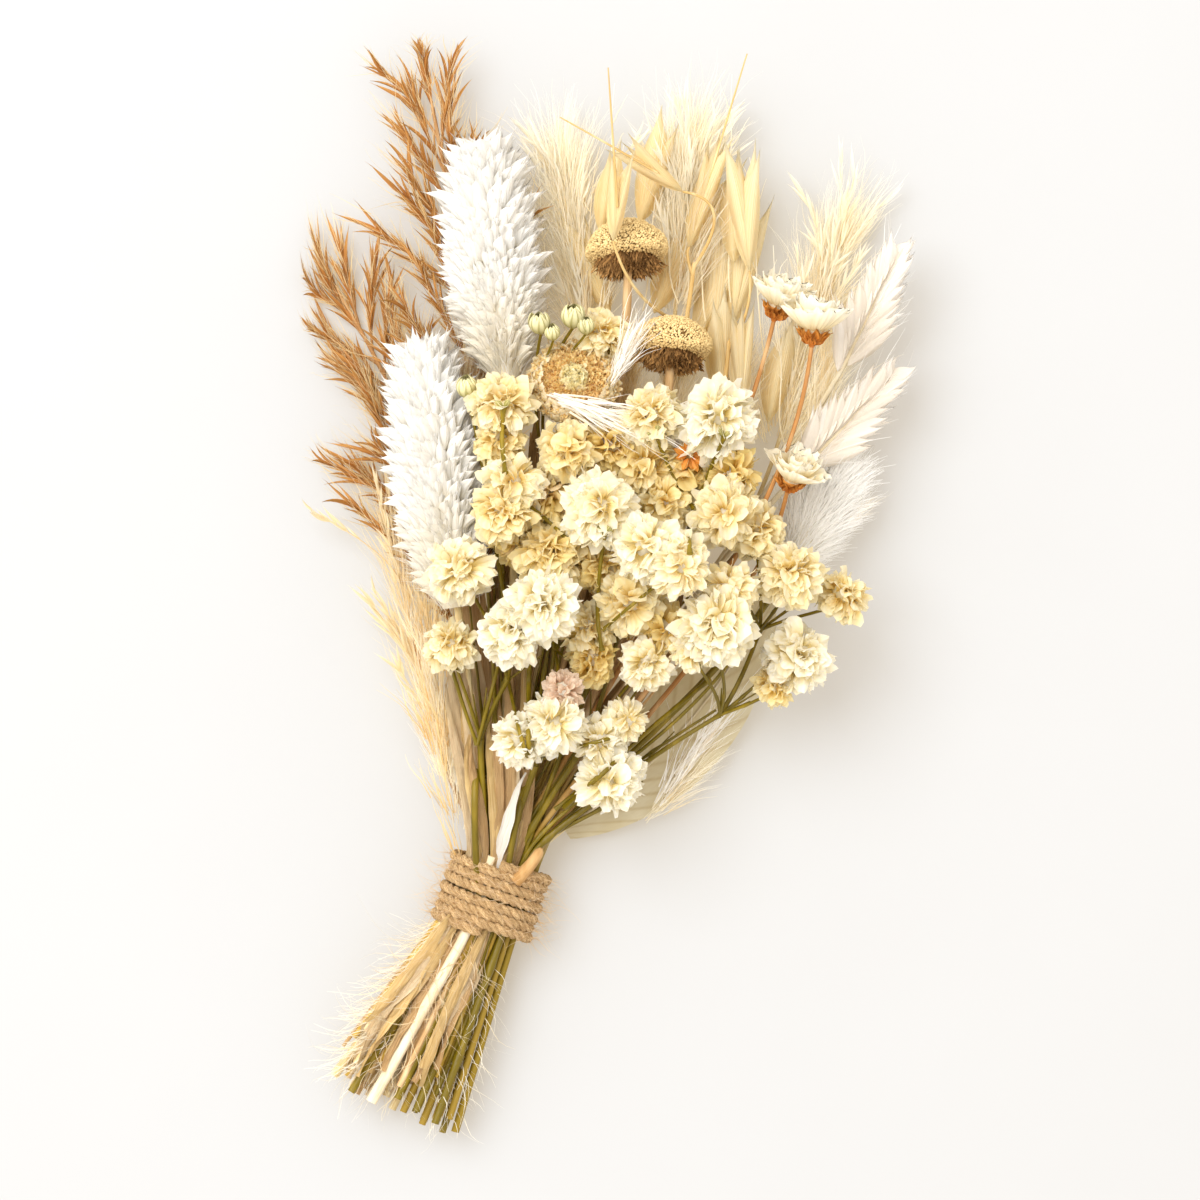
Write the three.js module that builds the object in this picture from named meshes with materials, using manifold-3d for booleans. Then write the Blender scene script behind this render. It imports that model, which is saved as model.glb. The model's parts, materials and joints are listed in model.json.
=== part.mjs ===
// A hand-tied bunch of dried grasses and flowers, lying on its back with its face up.
// Millimetres, +Z up. +Y runs along the bunch towards its heads and +X across it. The origin is on the surface that
// the bunch lies on, under the middle of the twine binding. Every stem runs from its cut end through a place of its
// own in the binding to its head, and keeps clear of its neighbours.
import * as THREE from "three";
import { mergeVertices } from "three/addons/utils/BufferGeometryUtils.js";
import Module from "manifold-3d";

const wasm = await Module();
wasm.setup();

// ---------------------------------------------------------------- driving dimensions
const GAP = 0.32; // air between two pieces that touch
const SEAT = 0.7; // the same below a head that tips on its stem
const AXIS_LEAN = THREE.MathUtils.degToRad(18); // the bunch's axis at the binding, from +Y towards +X
const TAIL_LEAN = THREE.MathUtils.degToRad(25); // the axis of the cut ends below it
const TIE = { z: 8.15, column: 2.25, row: 1.95, half: 7.6 }; // stem places in the binding, and half its length
const TAIL = { length: 44, column: 4.5, row: 2.3, uneven: 4 }; // how the cut ends fan out
const TWINE = { radius: 1.08, pitch: 2.5, turns: 6, steps: 11, across: 8.3, deep: 6.4 };
const STEM_SIDES = 5;
const BRANCH_SIDES = 3;
const BRANCH_RADIUS = 0.4;

const COLOURS = {
  jute: "#c69a64",
  reed: "#b5743c",
  white: "#f4efe4",
  straw: "#dfc48c",
  tan: "#cfa878",
  plume: "#ecdcb8",
  olive: "#7d7426",
  cream: "#f0e6c4",
  seed: "#cdb27a",
  button: "#e2b980",
  orange: "#b5642a",
  leaf: "#e0d3b2",
};

// ---------------------------------------------------------------- small tools
const point = (x, y, z) => new THREE.Vector3(x, y, z);
const UP = point(0, 0, 1);
const AXIS = point(Math.sin(AXIS_LEAN), Math.cos(AXIS_LEAN), 0);
const ACROSS = point(Math.cos(AXIS_LEAN), -Math.sin(AXIS_LEAN), 0);
const TAIL_AXIS = point(Math.sin(TAIL_LEAN), Math.cos(TAIL_LEAN), 0);
const TAIL_ACROSS = point(Math.cos(TAIL_LEAN), -Math.sin(TAIL_LEAN), 0);

// A repeatable draw between 0 and 1.
function draw(seed) {
  let state = seed * 7919 + 17;
  return () => {
    state = (state * 1103515245 + 12345) % 2147483648;
    return state / 2147483648;
  };
}

const mix = (a, b, t) => a + (b - a) * t;
const along = (origin, ...terms) =>
  terms.reduce((sum, [direction, distance]) => sum.addScaledVector(direction, distance), origin.clone());

// A closed surface as a solid, with its faces turned out.
function solidOf(vertices, faces) {
  const geometry = new THREE.BufferGeometry();
  geometry.setAttribute("position", new THREE.Float32BufferAttribute(vertices.flatMap((p) => p.toArray()), 3));
  geometry.setIndex(faces.flat());
  const merged = mergeVertices(geometry, 1e-4);
  const index = Array.from(merged.index.array);
  const triangles = [];
  for (let i = 0; i < index.length; i += 3) {
    const [a, b, c] = index.slice(i, i + 3);
    if (a !== b && b !== c && c !== a) triangles.push(a, b, c);
  }
  const vertProperties = merged.attributes.position.array;
  const build = (list) =>
    new wasm.Manifold(new wasm.Mesh({ numProp: 3, vertProperties, triVerts: new Uint32Array(list) }));
  const made = build(triangles);
  return made.volume() > 0 ? made : build(triangles.reverse());
}

// Rings of the same number of points, joined side by side and closed at both ends.
function loft(rings) {
  const sides = rings[0].length;
  const faces = [];
  for (let i = 0; i + 1 < rings.length; i++)
    for (let j = 0; j < sides; j++) {
      const [a, b] = [i * sides + j, i * sides + ((j + 1) % sides)];
      faces.push([a, b, b + sides], [a, b + sides, a + sides]);
    }
  const last = (rings.length - 1) * sides;
  for (let j = 1; j + 1 < sides; j++) faces.push([0, j + 1, j], [last, last + j, last + j + 1]);
  return solidOf(rings.flat(), faces);
}

// Directions along a line of points.
const tangents = (line) =>
  line.map((p, i) =>
    line[Math.min(i + 1, line.length - 1)].clone().sub(line[Math.max(i - 1, 0)]).normalize(),
  );

// A round tapered stem along a line of points.
function stalk(line, radiusAt, sides = STEM_SIDES) {
  const ways = tangents(line);
  let normal = point(0.3, 0.1, 1);
  return loft(
    line.map((centre, i) => {
      normal = normal.clone().addScaledVector(ways[i], -normal.dot(ways[i])).normalize();
      const side = ways[i].clone().cross(normal);
      const radius = radiusAt(i / (line.length - 1));
      return Array.from({ length: sides }, (_, j) => {
        const angle = (j * 2 * Math.PI) / sides;
        return along(centre, [normal, radius * Math.cos(angle)], [side, radius * Math.sin(angle)]);
      });
    }),
  );
}

// A flat blade along a line, arched across its width: widthAt gives half its width.
function blade(line, widthAt, thickness, arch = 0.15, facing = UP) {
  const ways = tangents(line);
  return loft(
    line.map((centre, i) => {
      const side = ways[i].clone().cross(facing).normalize();
      const face = side.clone().cross(ways[i]).normalize();
      const half = widthAt(i / (line.length - 1));
      const edge = -arch * half;
      return [
        along(centre, [side, -half], [face, edge]),
        along(centre, [face, -thickness / 2]),
        along(centre, [side, half], [face, edge]),
        along(centre, [face, thickness / 2]),
      ];
    }),
  );
}

// A pointed grain or scale from one end to the other, widest near its foot.
function grain(from, to, radius, sides = 4, widest = 0.38, flat = 1, facing = UP) {
  const way = to.clone().sub(from);
  const length = way.length();
  way.normalize();
  const side = way.clone().cross(facing).normalize();
  const face = side.clone().cross(way);
  const ring = (share, size) =>
    Array.from({ length: sides }, (_, j) => {
      const angle = (j * 2 * Math.PI) / sides;
      const [across, up] = [size * Math.cos(angle), size * flat * Math.sin(angle)];
      return along(from, [way, share * length], [side, across], [face, up]);
    });
  return loft([ring(0, 0), ring(widest, radius), ring(1, 0)]);
}

// The turn that carries +Z to a direction and keeps X level, with the origin moved to a foot.
function seat(foot, direction) {
  const way = direction.clone().normalize();
  const side = way.clone().cross(UP);
  if (side.length() < 0.01) side.set(1, 0, 0);
  side.normalize();
  return new THREE.Matrix4().makeBasis(side, way.clone().cross(side), way).setPosition(foot);
}

// A body of revolution whose surface is raised into overlapping scales. They stand in a diamond pattern, each one a
// point that leans towards the tip. profile gives the core's radius and height for a share of its rows.
function scaled({ foot, direction, profile, around, rows, rise, lean, squeeze = 1, uneven = 0.25, seed = 1 }) {
  const random = draw(seed);
  const place = seat(foot, direction);
  const vertices = [];
  const faces = [];
  const core = (row, column) => {
    const [radius, height] = profile(row / rows);
    const angle = ((column + (row % 2) / 2) * 2 * Math.PI) / around;
    return point(radius * Math.cos(angle), radius * squeeze * Math.sin(angle), height);
  };
  for (let row = 0; row <= rows; row++)
    for (let column = 0; column < around; column++) vertices.push(core(row, column));
  const at = (row, column) => row * around + ((column + around) % around);
  for (let row = 0; row + 2 <= rows; row++)
    for (let column = 0; column < around; column++) {
      const right = at(row + 1, row % 2 ? column + 1 : column);
      const left = at(row + 1, row % 2 ? column : column - 1);
      const [bottom, top] = [at(row, column), at(row + 2, column)];
      const centre = vertices[left].clone().add(vertices[right]).multiplyScalar(0.5);
      const up = vertices[top].clone().sub(vertices[bottom]).normalize();
      const out = vertices[right].clone().sub(vertices[left]).cross(up).normalize();
      const share = (row + 1) / rows;
      const size = 1 + uneven * (random() - 0.5);
      const tip = vertices.push(along(centre, [out, rise(share) * size], [up, lean(share) * size])) - 1;
      faces.push([bottom, right, tip], [right, top, tip], [top, left, tip], [left, bottom, tip]);
    }
  for (let column = 0; column < around; column++) {
    faces.push([at(0, column), at(0, column + 1), at(1, column)]);
    faces.push([at(rows, column), at(rows - 1, column + (rows % 2)), at(rows, column + 1)]);
  }
  for (let column = 1; column + 1 < around; column++) {
    faces.push([at(0, 0), at(0, column + 1), at(0, column)]);
    faces.push([at(rows, 0), at(rows, column), at(rows, column + 1)]);
  }
  return solidOf(vertices.map((p) => p.applyMatrix4(place)), faces);
}

const fuse = (parts) => parts.reduce((sum, part) => sum.add(part));

// What lies on the surface is pressed flat there.
const slab = new THREE.BoxGeometry(400, 600, 20).translate(0, 0, -10);
const slabCorners = slab.attributes.position;
const GROUND = solidOf(
  Array.from({ length: slabCorners.count }, (_, i) => point(0, 0, 0).fromBufferAttribute(slabCorners, i)),
  [Array.from(slab.index.array)],
);
const grounded = (solid) => solid.subtract(GROUND);

// ---------------------------------------------------------------- where the stems run
// A place in the binding: column across, row up, and a distance along the axis.
const inTie = ([column, row], distance) =>
  along(point(0, 0, TIE.z), [ACROSS, column * TIE.column], [UP, row * TIE.row], [AXIS, distance]);

// The cut end below that place, a little uneven in length.
function cutEnd([column, row]) {
  const uneven = draw(column * 4 + row * 31 + 200)() * TAIL.uneven;
  return along(
    point(0, 0, TIE.z + 0.6),
    [TAIL_AXIS, -TAIL.length - uneven],
    [TAIL_ACROSS, column * TAIL.column],
    [UP, row * TAIL.row],
  );
}

// A stem's line: cut end, both edges of the binding, then one easy curve to the foot of its head.
function route({ slot, foot, arrive, climb = 0, steps = 4 }) {
  const start = inTie(slot, TIE.half);
  const distance = foot.distanceTo(start);
  const leave = Math.min(distance * 0.2, 14);
  const curve = new THREE.CubicBezierCurve3(
    start,
    along(start, [AXIS, leave], [UP, leave * climb]),
    along(foot, [arrive.clone().normalize(), -distance * 0.36]),
    foot,
  );
  return [cutEnd(slot), inTie(slot, -TIE.half), ...curve.getPoints(steps)];
}

// The stems that carry one head each: their place in the binding, the head's foot and tip, and their thickness.
const HEAD_STEMS = {
  canary_low: { slot: [-3, 0], foot: point(-6.4, 58, 18.5), tip: point(-14, 112, 19), radius: 0.9, colour: "straw" },
  canary_high: { slot: [-2, 0], foot: point(3.4, 104, 16), tip: point(-2, 152, 18), radius: 0.9, colour: "straw" },
  button: {
    slot: [-1, 0], foot: point(16.5, 101, 19.5), tip: point(16.9, 105, 29), arrive: point(0.05, 1, 0.4),
    radius: 0.85, colour: "straw",
  },
  dome_high: {
    slot: [0, 0], foot: point(27.6, 126, 19), tip: point(27, 138, 16), arrive: point(0, 1, 0.15),
    height: 10, radius: 1, colour: "tan",
  },
  dome_low: {
    slot: [2, 0], foot: point(36, 107, 20), tip: point(37.2, 119, 17.4), arrive: point(0, 1, 0.16),
    height: 9.4, radius: 1, colour: "tan",
  },
  bunny: { slot: [2.5, -1], foot: point(59, 65, 9.5), tip: point(72, 90, 9.5), radius: 0.75, colour: "straw" },
};

// ---------------------------------------------------------------- gypsophila
const BLOOM_SIZE = 1.06; // all blooms against the sizes listed below
const BLOOM_CORE = 0.72; // the core of a bloom, as a share of its radius
const BLOOM_OPEN = 0.9; // where its flat foot ends, as an angle from straight down
const BLOOM_FOOT = BLOOM_CORE * Math.cos(BLOOM_OPEN);
// Forks of the four sprays: the fork or binding place that each one grows from, and where it is.
const FORKS = {
  left_low: { from: [-2, 2], at: point(-2, 32, 17.5) },
  left_mid: { from: "left_low", at: point(3.6, 44, 22) },
  left_high: { from: "left_mid", at: point(1, 72, 24.5) },
  centre_low: { from: [0, 2], at: point(9, 27, 19) },
  centre_mid: { from: "centre_low", at: point(13, 50, 23.5) },
  centre_high: { from: "centre_mid", at: point(18, 72, 26) },
  inner_low: { from: [1, 2], at: point(20, 33, 16.5) },
  inner_mid: { from: "inner_low", at: point(28, 64, 19) },
  inner_high: { from: "inner_mid", at: point(39, 80, 21) },
  right_low: { from: [2, 2], at: point(30.6, 27, 15.2) },
  right_mid: { from: "right_low", at: point(46, 37, 19) },
  right_high: { from: "right_mid", at: point(54, 54, 20) },
};
const SPRAYS = ["left", "centre", "inner", "right"];

// Blooms: the fork that each one grows from, its middle and its radius.
const bloom = (fork, x, y, z, radius) => ({ fork, middle: point(x, y, z), radius: radius * BLOOM_SIZE });
const BLOOMS = [
  bloom("left_high", 2.4, 98.4, 30, 5.5),
  bloom("left_high", 2.2, 91.4, 29.4, 4.4),
  bloom("left_high", 5, 83, 33, 5.2),
  bloom("left_high", 3, 77, 34, 5.2),
  bloom("left_mid", -5.6, 66, 34.5, 5.6),
  bloom("left_low", -7.6, 51, 27, 4.6),
  bloom("left_mid", 4.2, 53.4, 36, 5.5),
  bloom("centre_low", 6, 32.4, 31, 4.8),
  bloom("centre_low", 13, 35.6, 32, 5.3),
  bloom("centre_mid", 14.6, 42.2, 33.4, 3.5),
  bloom("centre_mid", 10.6, 59, 38.5, 6.2),
  bloom("centre_mid", 12.6, 68.6, 30, 6.4),
  bloom("centre_mid", 19.4, 54.6, 27.5, 4.8),
  bloom("centre_high", 15.6, 89.6, 30, 5.4),
  bloom("centre_high", 22, 78, 38, 6.4),
  bloom("centre_high", 22.6, 113, 22.4, 4.6),
  bloom("inner_mid", 28, 60, 29.5, 6.2),
  bloom("inner_low", 31.4, 47.6, 30, 4.4),
  bloom("inner_mid", 31, 70.4, 40, 5.5),
  bloom("inner_mid", 38, 67, 41.5, 5.5),
  bloom("inner_high", 31, 86.4, 27, 5.8),
  bloom("inner_high", 34.6, 79, 28.5, 5.2),
  bloom("inner_high", 32.4, 96.6, 32, 5.4),
  bloom("inner_high", 45, 95.4, 31.5, 6.8),
  bloom("inner_high", 47, 77, 31, 6.2),
  bloom("inner_low", 22, 32, 28, 4.8),
  bloom("inner_low", 27, 35.8, 27, 3.8),
  bloom("right_low", 24, 24.4, 27.4, 5.6),
  bloom("right_high", 53, 73.6, 27.5, 5.2),
  bloom("right_high", 60, 65, 29.5, 5.8),
  bloom("right_high", 47.4, 62, 34.5, 5.2),
  bloom("right_high", 70.4, 61, 23.5, 4.7),
  bloom("right_mid", 45, 55, 37.5, 6.8),
  bloom("right_mid", 40.4, 50, 34, 3.6),
  bloom("right_mid", 61, 49, 27, 6),
  bloom("right_mid", 56.6, 43, 25, 3.6),
  bloom("centre_high", 11, 79.6, 27.5, 5.4),
  bloom("left_high", 5.6, 72, 27.5, 5),
  bloom("centre_mid", 20.4, 48.4, 26, 4.6),
  bloom("centre_high", 22, 67.4, 28.5, 5.8),
  bloom("inner_mid", 34.6, 54, 27, 4.8),
  bloom("inner_high", 39.6, 86.4, 26, 5.6),
  bloom("inner_high", 24, 90, 27, 5),
  bloom("inner_high", 47.8, 85, 27.6, 5.2),
];
const BUDS = [
  bloom("left_high", -4.4, 102, 28, 2.2),
  bloom("centre_high", 10, 114.6, 29, 2.2),
  bloom("centre_high", 11.4, 109.4, 31, 2.2),
  bloom("centre_high", 16.6, 116, 28, 2.4),
];

// The other heads, as the room that branches leave them.
const eggRooms = ({ foot, tip }) =>
  [0.1, 0.3, 0.5, 0.7].map((t) => ({ middle: foot.clone().lerp(tip, t), radius: 10 }));
const ROOMS = [
  { middle: point(16.7, 103, 24.5), radius: 9.6 },
  { middle: point(27.2, 131, 17.5), radius: 8.6 },
  { middle: point(36.6, 113, 18.7), radius: 8.4 },
  ...eggRooms(HEAD_STEMS.canary_low),
  ...eggRooms(HEAD_STEMS.canary_high),
  ...BLOOMS,
];

// Pushes the inner points of a line out of any head that it would cross, then evens the line.
function bendClear(line, room, own) {
  const last = line.length - 1;
  const push = (spot, moved) => {
    for (const other of ROOMS) {
      const away = spot.clone().sub(other.middle);
      const short = other.radius + room - away.length();
      if (other !== own && short > 0) moved.forEach((p) => p.addScaledVector(away.clone().normalize(), short));
    }
  };
  for (let pass = 0; pass < 60; pass++)
    for (let i = 1; i <= last; i++) {
      const inner = [line[i - 1], line[i]].filter((_, k) => i - 1 + k > 0 && i - 1 + k < last);
      push(line[i - 1].clone().lerp(line[i], 0.5), inner);
      if (i === last) continue;
      line[i].lerp(line[i - 1].clone().add(line[i + 1]).multiplyScalar(0.5), 0.2);
      push(line[i], [line[i]]);
    }
  return line;
}

// A branch from a fork towards a bloom: it leaves along the spray and meets the bloom's foot.
function branch(start, leave, end, arrive, steps, own) {
  const distance = start.distanceTo(end);
  const curve = new THREE.CubicBezierCurve3(
    start,
    along(start, [leave, distance * 0.3]),
    along(end, [arrive, -distance * 0.3]),
    end,
  );
  return bendClear(curve.getPoints(steps), BRANCH_RADIUS + GAP, own);
}

// A bloom looks away from its fork and partly up.
function facing({ fork, middle }) {
  const way = middle.clone().sub(FORKS[fork].at).normalize();
  return way.addScaledVector(UP, 0.5).normalize();
}
const footOf = (one, share) => along(one.middle, [facing(one), -one.radius * share]);

const forkLeave = (name) => {
  const { from, at } = FORKS[name];
  const before = Array.isArray(from) ? inTie(from, TIE.half) : FORKS[from].at;
  return at.clone().sub(before).normalize();
};

// The stalk of a bloom, from its fork to just short of the bloom's foot.
function stalkLine(one) {
  const end = footOf(one, BLOOM_FOOT).addScaledVector(facing(one), -GAP);
  return branch(FORKS[one.fork].at, forkLeave(one.fork), end, facing(one), 4, one);
}

// Where blooms press together, a bloom whose stalk has no room hides it, but the lowest of them always has its own.
const isClear = (line, own) =>
  new THREE.CatmullRomCurve3(line)
    .getPoints(20)
    .every((p) => ROOMS.every((other) => other === own || p.distanceTo(other.middle) > other.radius + BRANCH_RADIUS));
const withStalk = ({ members }) => {
  const lead = members.reduce((a, b) => (a.middle.z - a.radius < b.middle.z - b.radius ? a : b));
  return members.filter((one) => one === lead || isClear(stalkLine(one), one));
};

function spray(side, clusters) {
  const parts = [];
  for (const [name, fork] of Object.entries(FORKS).filter(([key]) => key.startsWith(side))) {
    const way = forkLeave(name);
    parts.push(grain(along(fork.at, [way, -1.3]), along(fork.at, [way, 1.3]), 1.1, 4, 0.5));
    if (Array.isArray(fork.from)) {
      const line = route({ slot: fork.from, foot: fork.at, arrive: way, steps: 3 });
      parts.push(stalk(line, (t) => mix(1, 0.75, t)));
    } else {
      const line = branch(FORKS[fork.from].at, forkLeave(fork.from), fork.at, way, 3);
      parts.push(stalk(line, () => 0.6, 4));
    }
  }
  for (const one of clusters.flatMap(withStalk).filter(({ fork }) => fork.startsWith(side)))
    parts.push(stalk(stalkLine(one), () => BRANCH_RADIUS, BRANCH_SIDES));
  for (const one of BUDS.filter((b) => b.fork.startsWith(side))) {
    const line = branch(FORKS[one.fork].at, forkLeave(one.fork), one.middle, facing(one), 4, one);
    parts.push(stalk(line, () => BRANCH_RADIUS, BRANCH_SIDES));
    parts.push(grain(footOf(one, 1), along(one.middle, [facing(one), one.radius]), one.radius * 0.85, 5, 0.5));
  }
  return fuse(parts);
}

// A double bloom: a round core that is raised into petals all round, with a flat foot where its stalk meets it.
function petals(one, seed) {
  const core = one.radius * BLOOM_CORE;
  return scaled({
    foot: footOf(one, BLOOM_FOOT),
    direction: facing(one),
    profile: (t) => {
      const angle = mix(BLOOM_OPEN, 2.85, t); // from the foot to the crown, as an angle from straight down
      return [core * Math.sin(angle), one.radius * BLOOM_FOOT - core * Math.cos(angle)];
    },
    around: one.middle.z < 28.6 ? 5 : 6,
    rows: one.radius > 5.5 ? 5 : 4,
    rise: () => one.radius * 0.3,
    lean: () => one.radius * 0.16,
    uneven: 0.5,
    seed,
  });
}

// Blooms that press into each other are one body, because the real ones can't be told apart there.
function bloomClusters() {
  const clusters = BLOOMS.map((one, i) => ({ members: [one], solid: petals(one, i + 1) }));
  for (let i = 0; i < clusters.length; i++)
    for (let j = i + 1; j < clusters.length; j++) {
      const touch = clusters[i].members.some((a) =>
        clusters[j].members.some((b) => a.middle.distanceTo(b.middle) < a.radius + b.radius + GAP),
      );
      const grown = touch && clusters[i].solid.add(clusters[j].solid);
      if (grown && clusters[i].solid.intersect(clusters[j].solid).volume() > 0.01) {
        clusters[i] = { members: [...clusters[i].members, ...clusters[j].members], solid: grown };
        clusters.splice(j, 1);
        j = i;
      }
    }
  return clusters;
}

// ---------------------------------------------------------------- heads
// How far up an egg-shaped head a row stands: rows are closer towards both ends.
const eggHeight = (t, length) => (length * (1 - Math.cos(Math.PI * mix(0.04, 1, t)))) / 2;

// A canary grass head: an egg of close, pointed glumes.
function canaryHead({ foot, tip }, seed) {
  const length = foot.distanceTo(tip) - 3;
  return scaled({
    foot: along(foot, [tip.clone().sub(foot).normalize(), GAP]),
    direction: tip.clone().sub(foot),
    profile: (t) => [8.1 * Math.sin(mix(0.26, 2.92, t)) ** 0.72, eggHeight(t, length)],
    around: 9,
    rows: 13,
    rise: (t) => mix(2.3, 1.6, t),
    lean: (t) => mix(3.2, 5, t),
    seed,
  });
}

// A soft plume: a slim core with long points that spread towards the tip. It lies flat, so it is squeezed.
function plume(item, seed) {
  const { slot, foot, tip, radius, arrive, around = 6, rows = 9, lift = 2.6, lean = 10, squeeze = 0.5 } = item;
  const way = tip.clone().sub(foot);
  const length = way.length() - lean;
  const line = route({ slot, foot: along(foot, [way.clone().normalize(), 2]), arrive: arrive ?? way });
  const tuft = scaled({
    foot,
    direction: way,
    profile: (t) => [radius * (0.2 + 0.8 * Math.sin(mix(0.1, 2.7, t))), length * t],
    around,
    rows,
    rise: (t) => mix(0.6, lift, t),
    lean: (t) => mix(lean * 0.5, lean, t),
    squeeze,
    uneven: 0.7,
    seed,
  });
  return { line, solid: grounded(fuse([stalk(line, (t) => mix(0.85, 0.7, t)), tuft])) };
}

// A reed panicle: a stem that carries thin side branches, each a loose brush of long brown spikelets.
function reed({ slot, foot, arrive, start, side }, seed) {
  const random = draw(seed);
  const line = route({ slot, foot, arrive, steps: 5 });
  const curve = new THREE.CatmullRomCurve3(line);
  const parts = [stalk(line, (t) => mix(0.9, 0.45, t))];
  const count = 9;
  for (let i = 0; i < count; i++) {
    const share = mix(start, 0.97, i / (count - 1));
    const way = curve.getTangentAt(share);
    const turn = i === count - 1 ? 0 : (i % 2 ? side : side - 2) * mix(0.3, 0.5, random());
    const heading = along(way, [way.clone().cross(UP), turn], [UP, mix(-0.05, 0.08, random())]).normalize();
    const reach = mix(21, 11, i / count);
    parts.push(
      scaled({
        foot: along(curve.getPointAt(share), [heading, 0.1]),
        direction: heading,
        profile: (t) => [mix(0.5, 0.28, t), reach * t ** 0.85],
        around: 3,
        rows: 5,
        rise: (t) => (t < 0.2 ? 0.05 : mix(0.7, 1.5, t)),
        lean: (t) => (t < 0.2 ? 0 : mix(3, 6.5, t)),
        squeeze: 0.9,
        uneven: 0.5,
        seed: seed * 20 + i,
      }),
    );
  }
  return { line, solid: grounded(fuse(parts)) };
}

// A papery oat spikelet: two boat-shaped glumes that gape, and one awn between them.
function oat(foot, tip, awn) {
  const way = tip.clone().sub(foot);
  const side = way.clone().cross(UP).normalize();
  const length = way.length();
  const spread = (turn) => along(tip, [side, turn * length * 0.14], [UP, turn * 0.8]);
  const glume = (turn) => grain(foot, spread(turn), length * 0.15, 4, 0.36, 0.6);
  const parts = [glume(1), glume(-1)];
  const bristle = awn && [along(foot, [way, 0.3]), along(foot, [way, 0.9]), awn];
  if (bristle) parts.push(stalk(bristle, (t) => mix(0.5, 0.36, t), 3));
  return fuse(parts);
}

// An oat panicle: a stem with fine pedicels, each with one spikelet.
function oats({ slot, foot, arrive, spikelets }) {
  const line = route({ slot, foot, arrive, steps: 5 });
  const curve = new THREE.CatmullRomCurve3(line);
  const parts = [stalk(line, (t) => mix(0.85, 0.45, t))];
  for (const { leaves, foot: base, tip, awn, over } of spikelets) {
    const root = curve.getPointAt(leaves);
    const seatOf = along(base, [tip.clone().sub(base).normalize(), 0.8]);
    const pedicel = new THREE.QuadraticBezierCurve3(root, over, seatOf).getPoints(3);
    parts.push(stalk(pedicel, (t) => mix(0.42, 0.38, t), 3), oat(base, tip, awn));
  }
  return { line, solid: fuse(parts) };
}

// A bleached ear: long pointed glumes in close ranks, one over the other like a plait.
function ear({ slot, foot, tip, arrive, width }, seed) {
  const way = tip.clone().sub(foot);
  const line = route({ slot, foot: along(foot, [way.clone().normalize(), 2]), arrive: arrive ?? way });
  const glumes = scaled({
    foot,
    direction: way,
    profile: (t) => [width * (0.35 + 0.65 * Math.sin(mix(0.5, 2.8, t))), (way.length() - 7) * t],
    around: 6,
    rows: 8,
    rise: (t) => mix(2.4, 1.6, t),
    lean: (t) => mix(7, 8.5, t),
    squeeze: 0.6,
    seed,
  });
  return { line, solid: fuse([stalk(line, (t) => mix(0.85, 0.6, t)), glumes]) };
}

// A dome-shaped seed head: a cap of fine relief with a hollow underside, where the stalk meets it.
function domeHead({ foot, tip, height }, radius, seed) {
  const hollow = 2.4;
  return scaled({
    foot: along(foot, [tip.clone().sub(foot).normalize(), SEAT - hollow]),
    direction: tip.clone().sub(foot),
    profile: (t) => {
      if (t < 0.2) return [mix(2.2, radius * 0.9, t / 0.2), mix(hollow, 0, t / 0.2)];
      const angle = mix(-0.1, 1.45, (t - 0.2) / 0.8);
      return [radius * Math.cos(angle), 1 + (height - 1) * Math.sin(angle)];
    },
    around: 11,
    rows: 8,
    rise: () => 0.65,
    lean: () => 0.1,
    seed,
  });
}

// The strawflower: a round button of close bracts, flatter than it is wide.
function buttonHead({ foot, tip }, seed) {
  const height = foot.distanceTo(tip);
  return scaled({
    foot: along(foot, [tip.clone().sub(foot).normalize(), SEAT]),
    direction: tip.clone().sub(foot),
    profile: (t) => {
      const angle = mix(-1.2, 1.45, t);
      return [8.2 * Math.cos(angle) ** 0.8, height * 0.45 * (1 + Math.sin(angle)) - height * 0.03];
    },
    around: 14,
    rows: 8,
    rise: () => 0.9,
    lean: () => 1.1,
    seed,
  });
}

// A bunny tail: a soft egg of fine points.
function bunnyHead({ foot, tip }, seed) {
  const length = foot.distanceTo(tip) - 4;
  return scaled({
    foot: along(foot, [tip.clone().sub(foot).normalize(), GAP]),
    direction: tip.clone().sub(foot),
    profile: (t) => [5.4 * Math.sin(mix(0.3, 2.9, t)) ** 0.8, eggHeight(t, length)],
    around: 9,
    rows: 9,
    rise: () => 1.9,
    lean: (t) => mix(4, 6.5, t),
    uneven: 0.6,
    seed,
  });
}

// A small daisy: two layers of petals in a shallow cup, on a calyx that its stem carries.
const DAISIES = {
  high: { slot: [0.5, 1], middle: point(57.5, 118.4, 24), look: point(0.35, 0.8, 0.35), radius: 6.6 },
  front: { slot: [1.5, 1], middle: point(64.2, 113, 32), look: point(0.12, 0.86, 0.42), radius: 7.4 },
  low: {
    slot: [2.5, 1], middle: point(60, 84, 29), look: point(0.3, 0.8, 0.5), radius: 6.4, arrive: point(0.12, 1, 0.9),
  },
};
function daisyPetals({ middle, look, radius }, seed) {
  return scaled({
    foot: middle,
    direction: look,
    profile: (t) => [t < 0.7 ? mix(1.6, 3.1, t / 0.7) : mix(3.1, 0.5, (t - 0.7) / 0.3), 2.6 * t ** 0.8],
    around: 8,
    rows: 5,
    rise: (t) => mix(radius * 0.62, 0.6, t),
    lean: (t) => mix(radius * 0.42, 1.2, t),
    uneven: 0.3,
    seed,
  });
}
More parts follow.
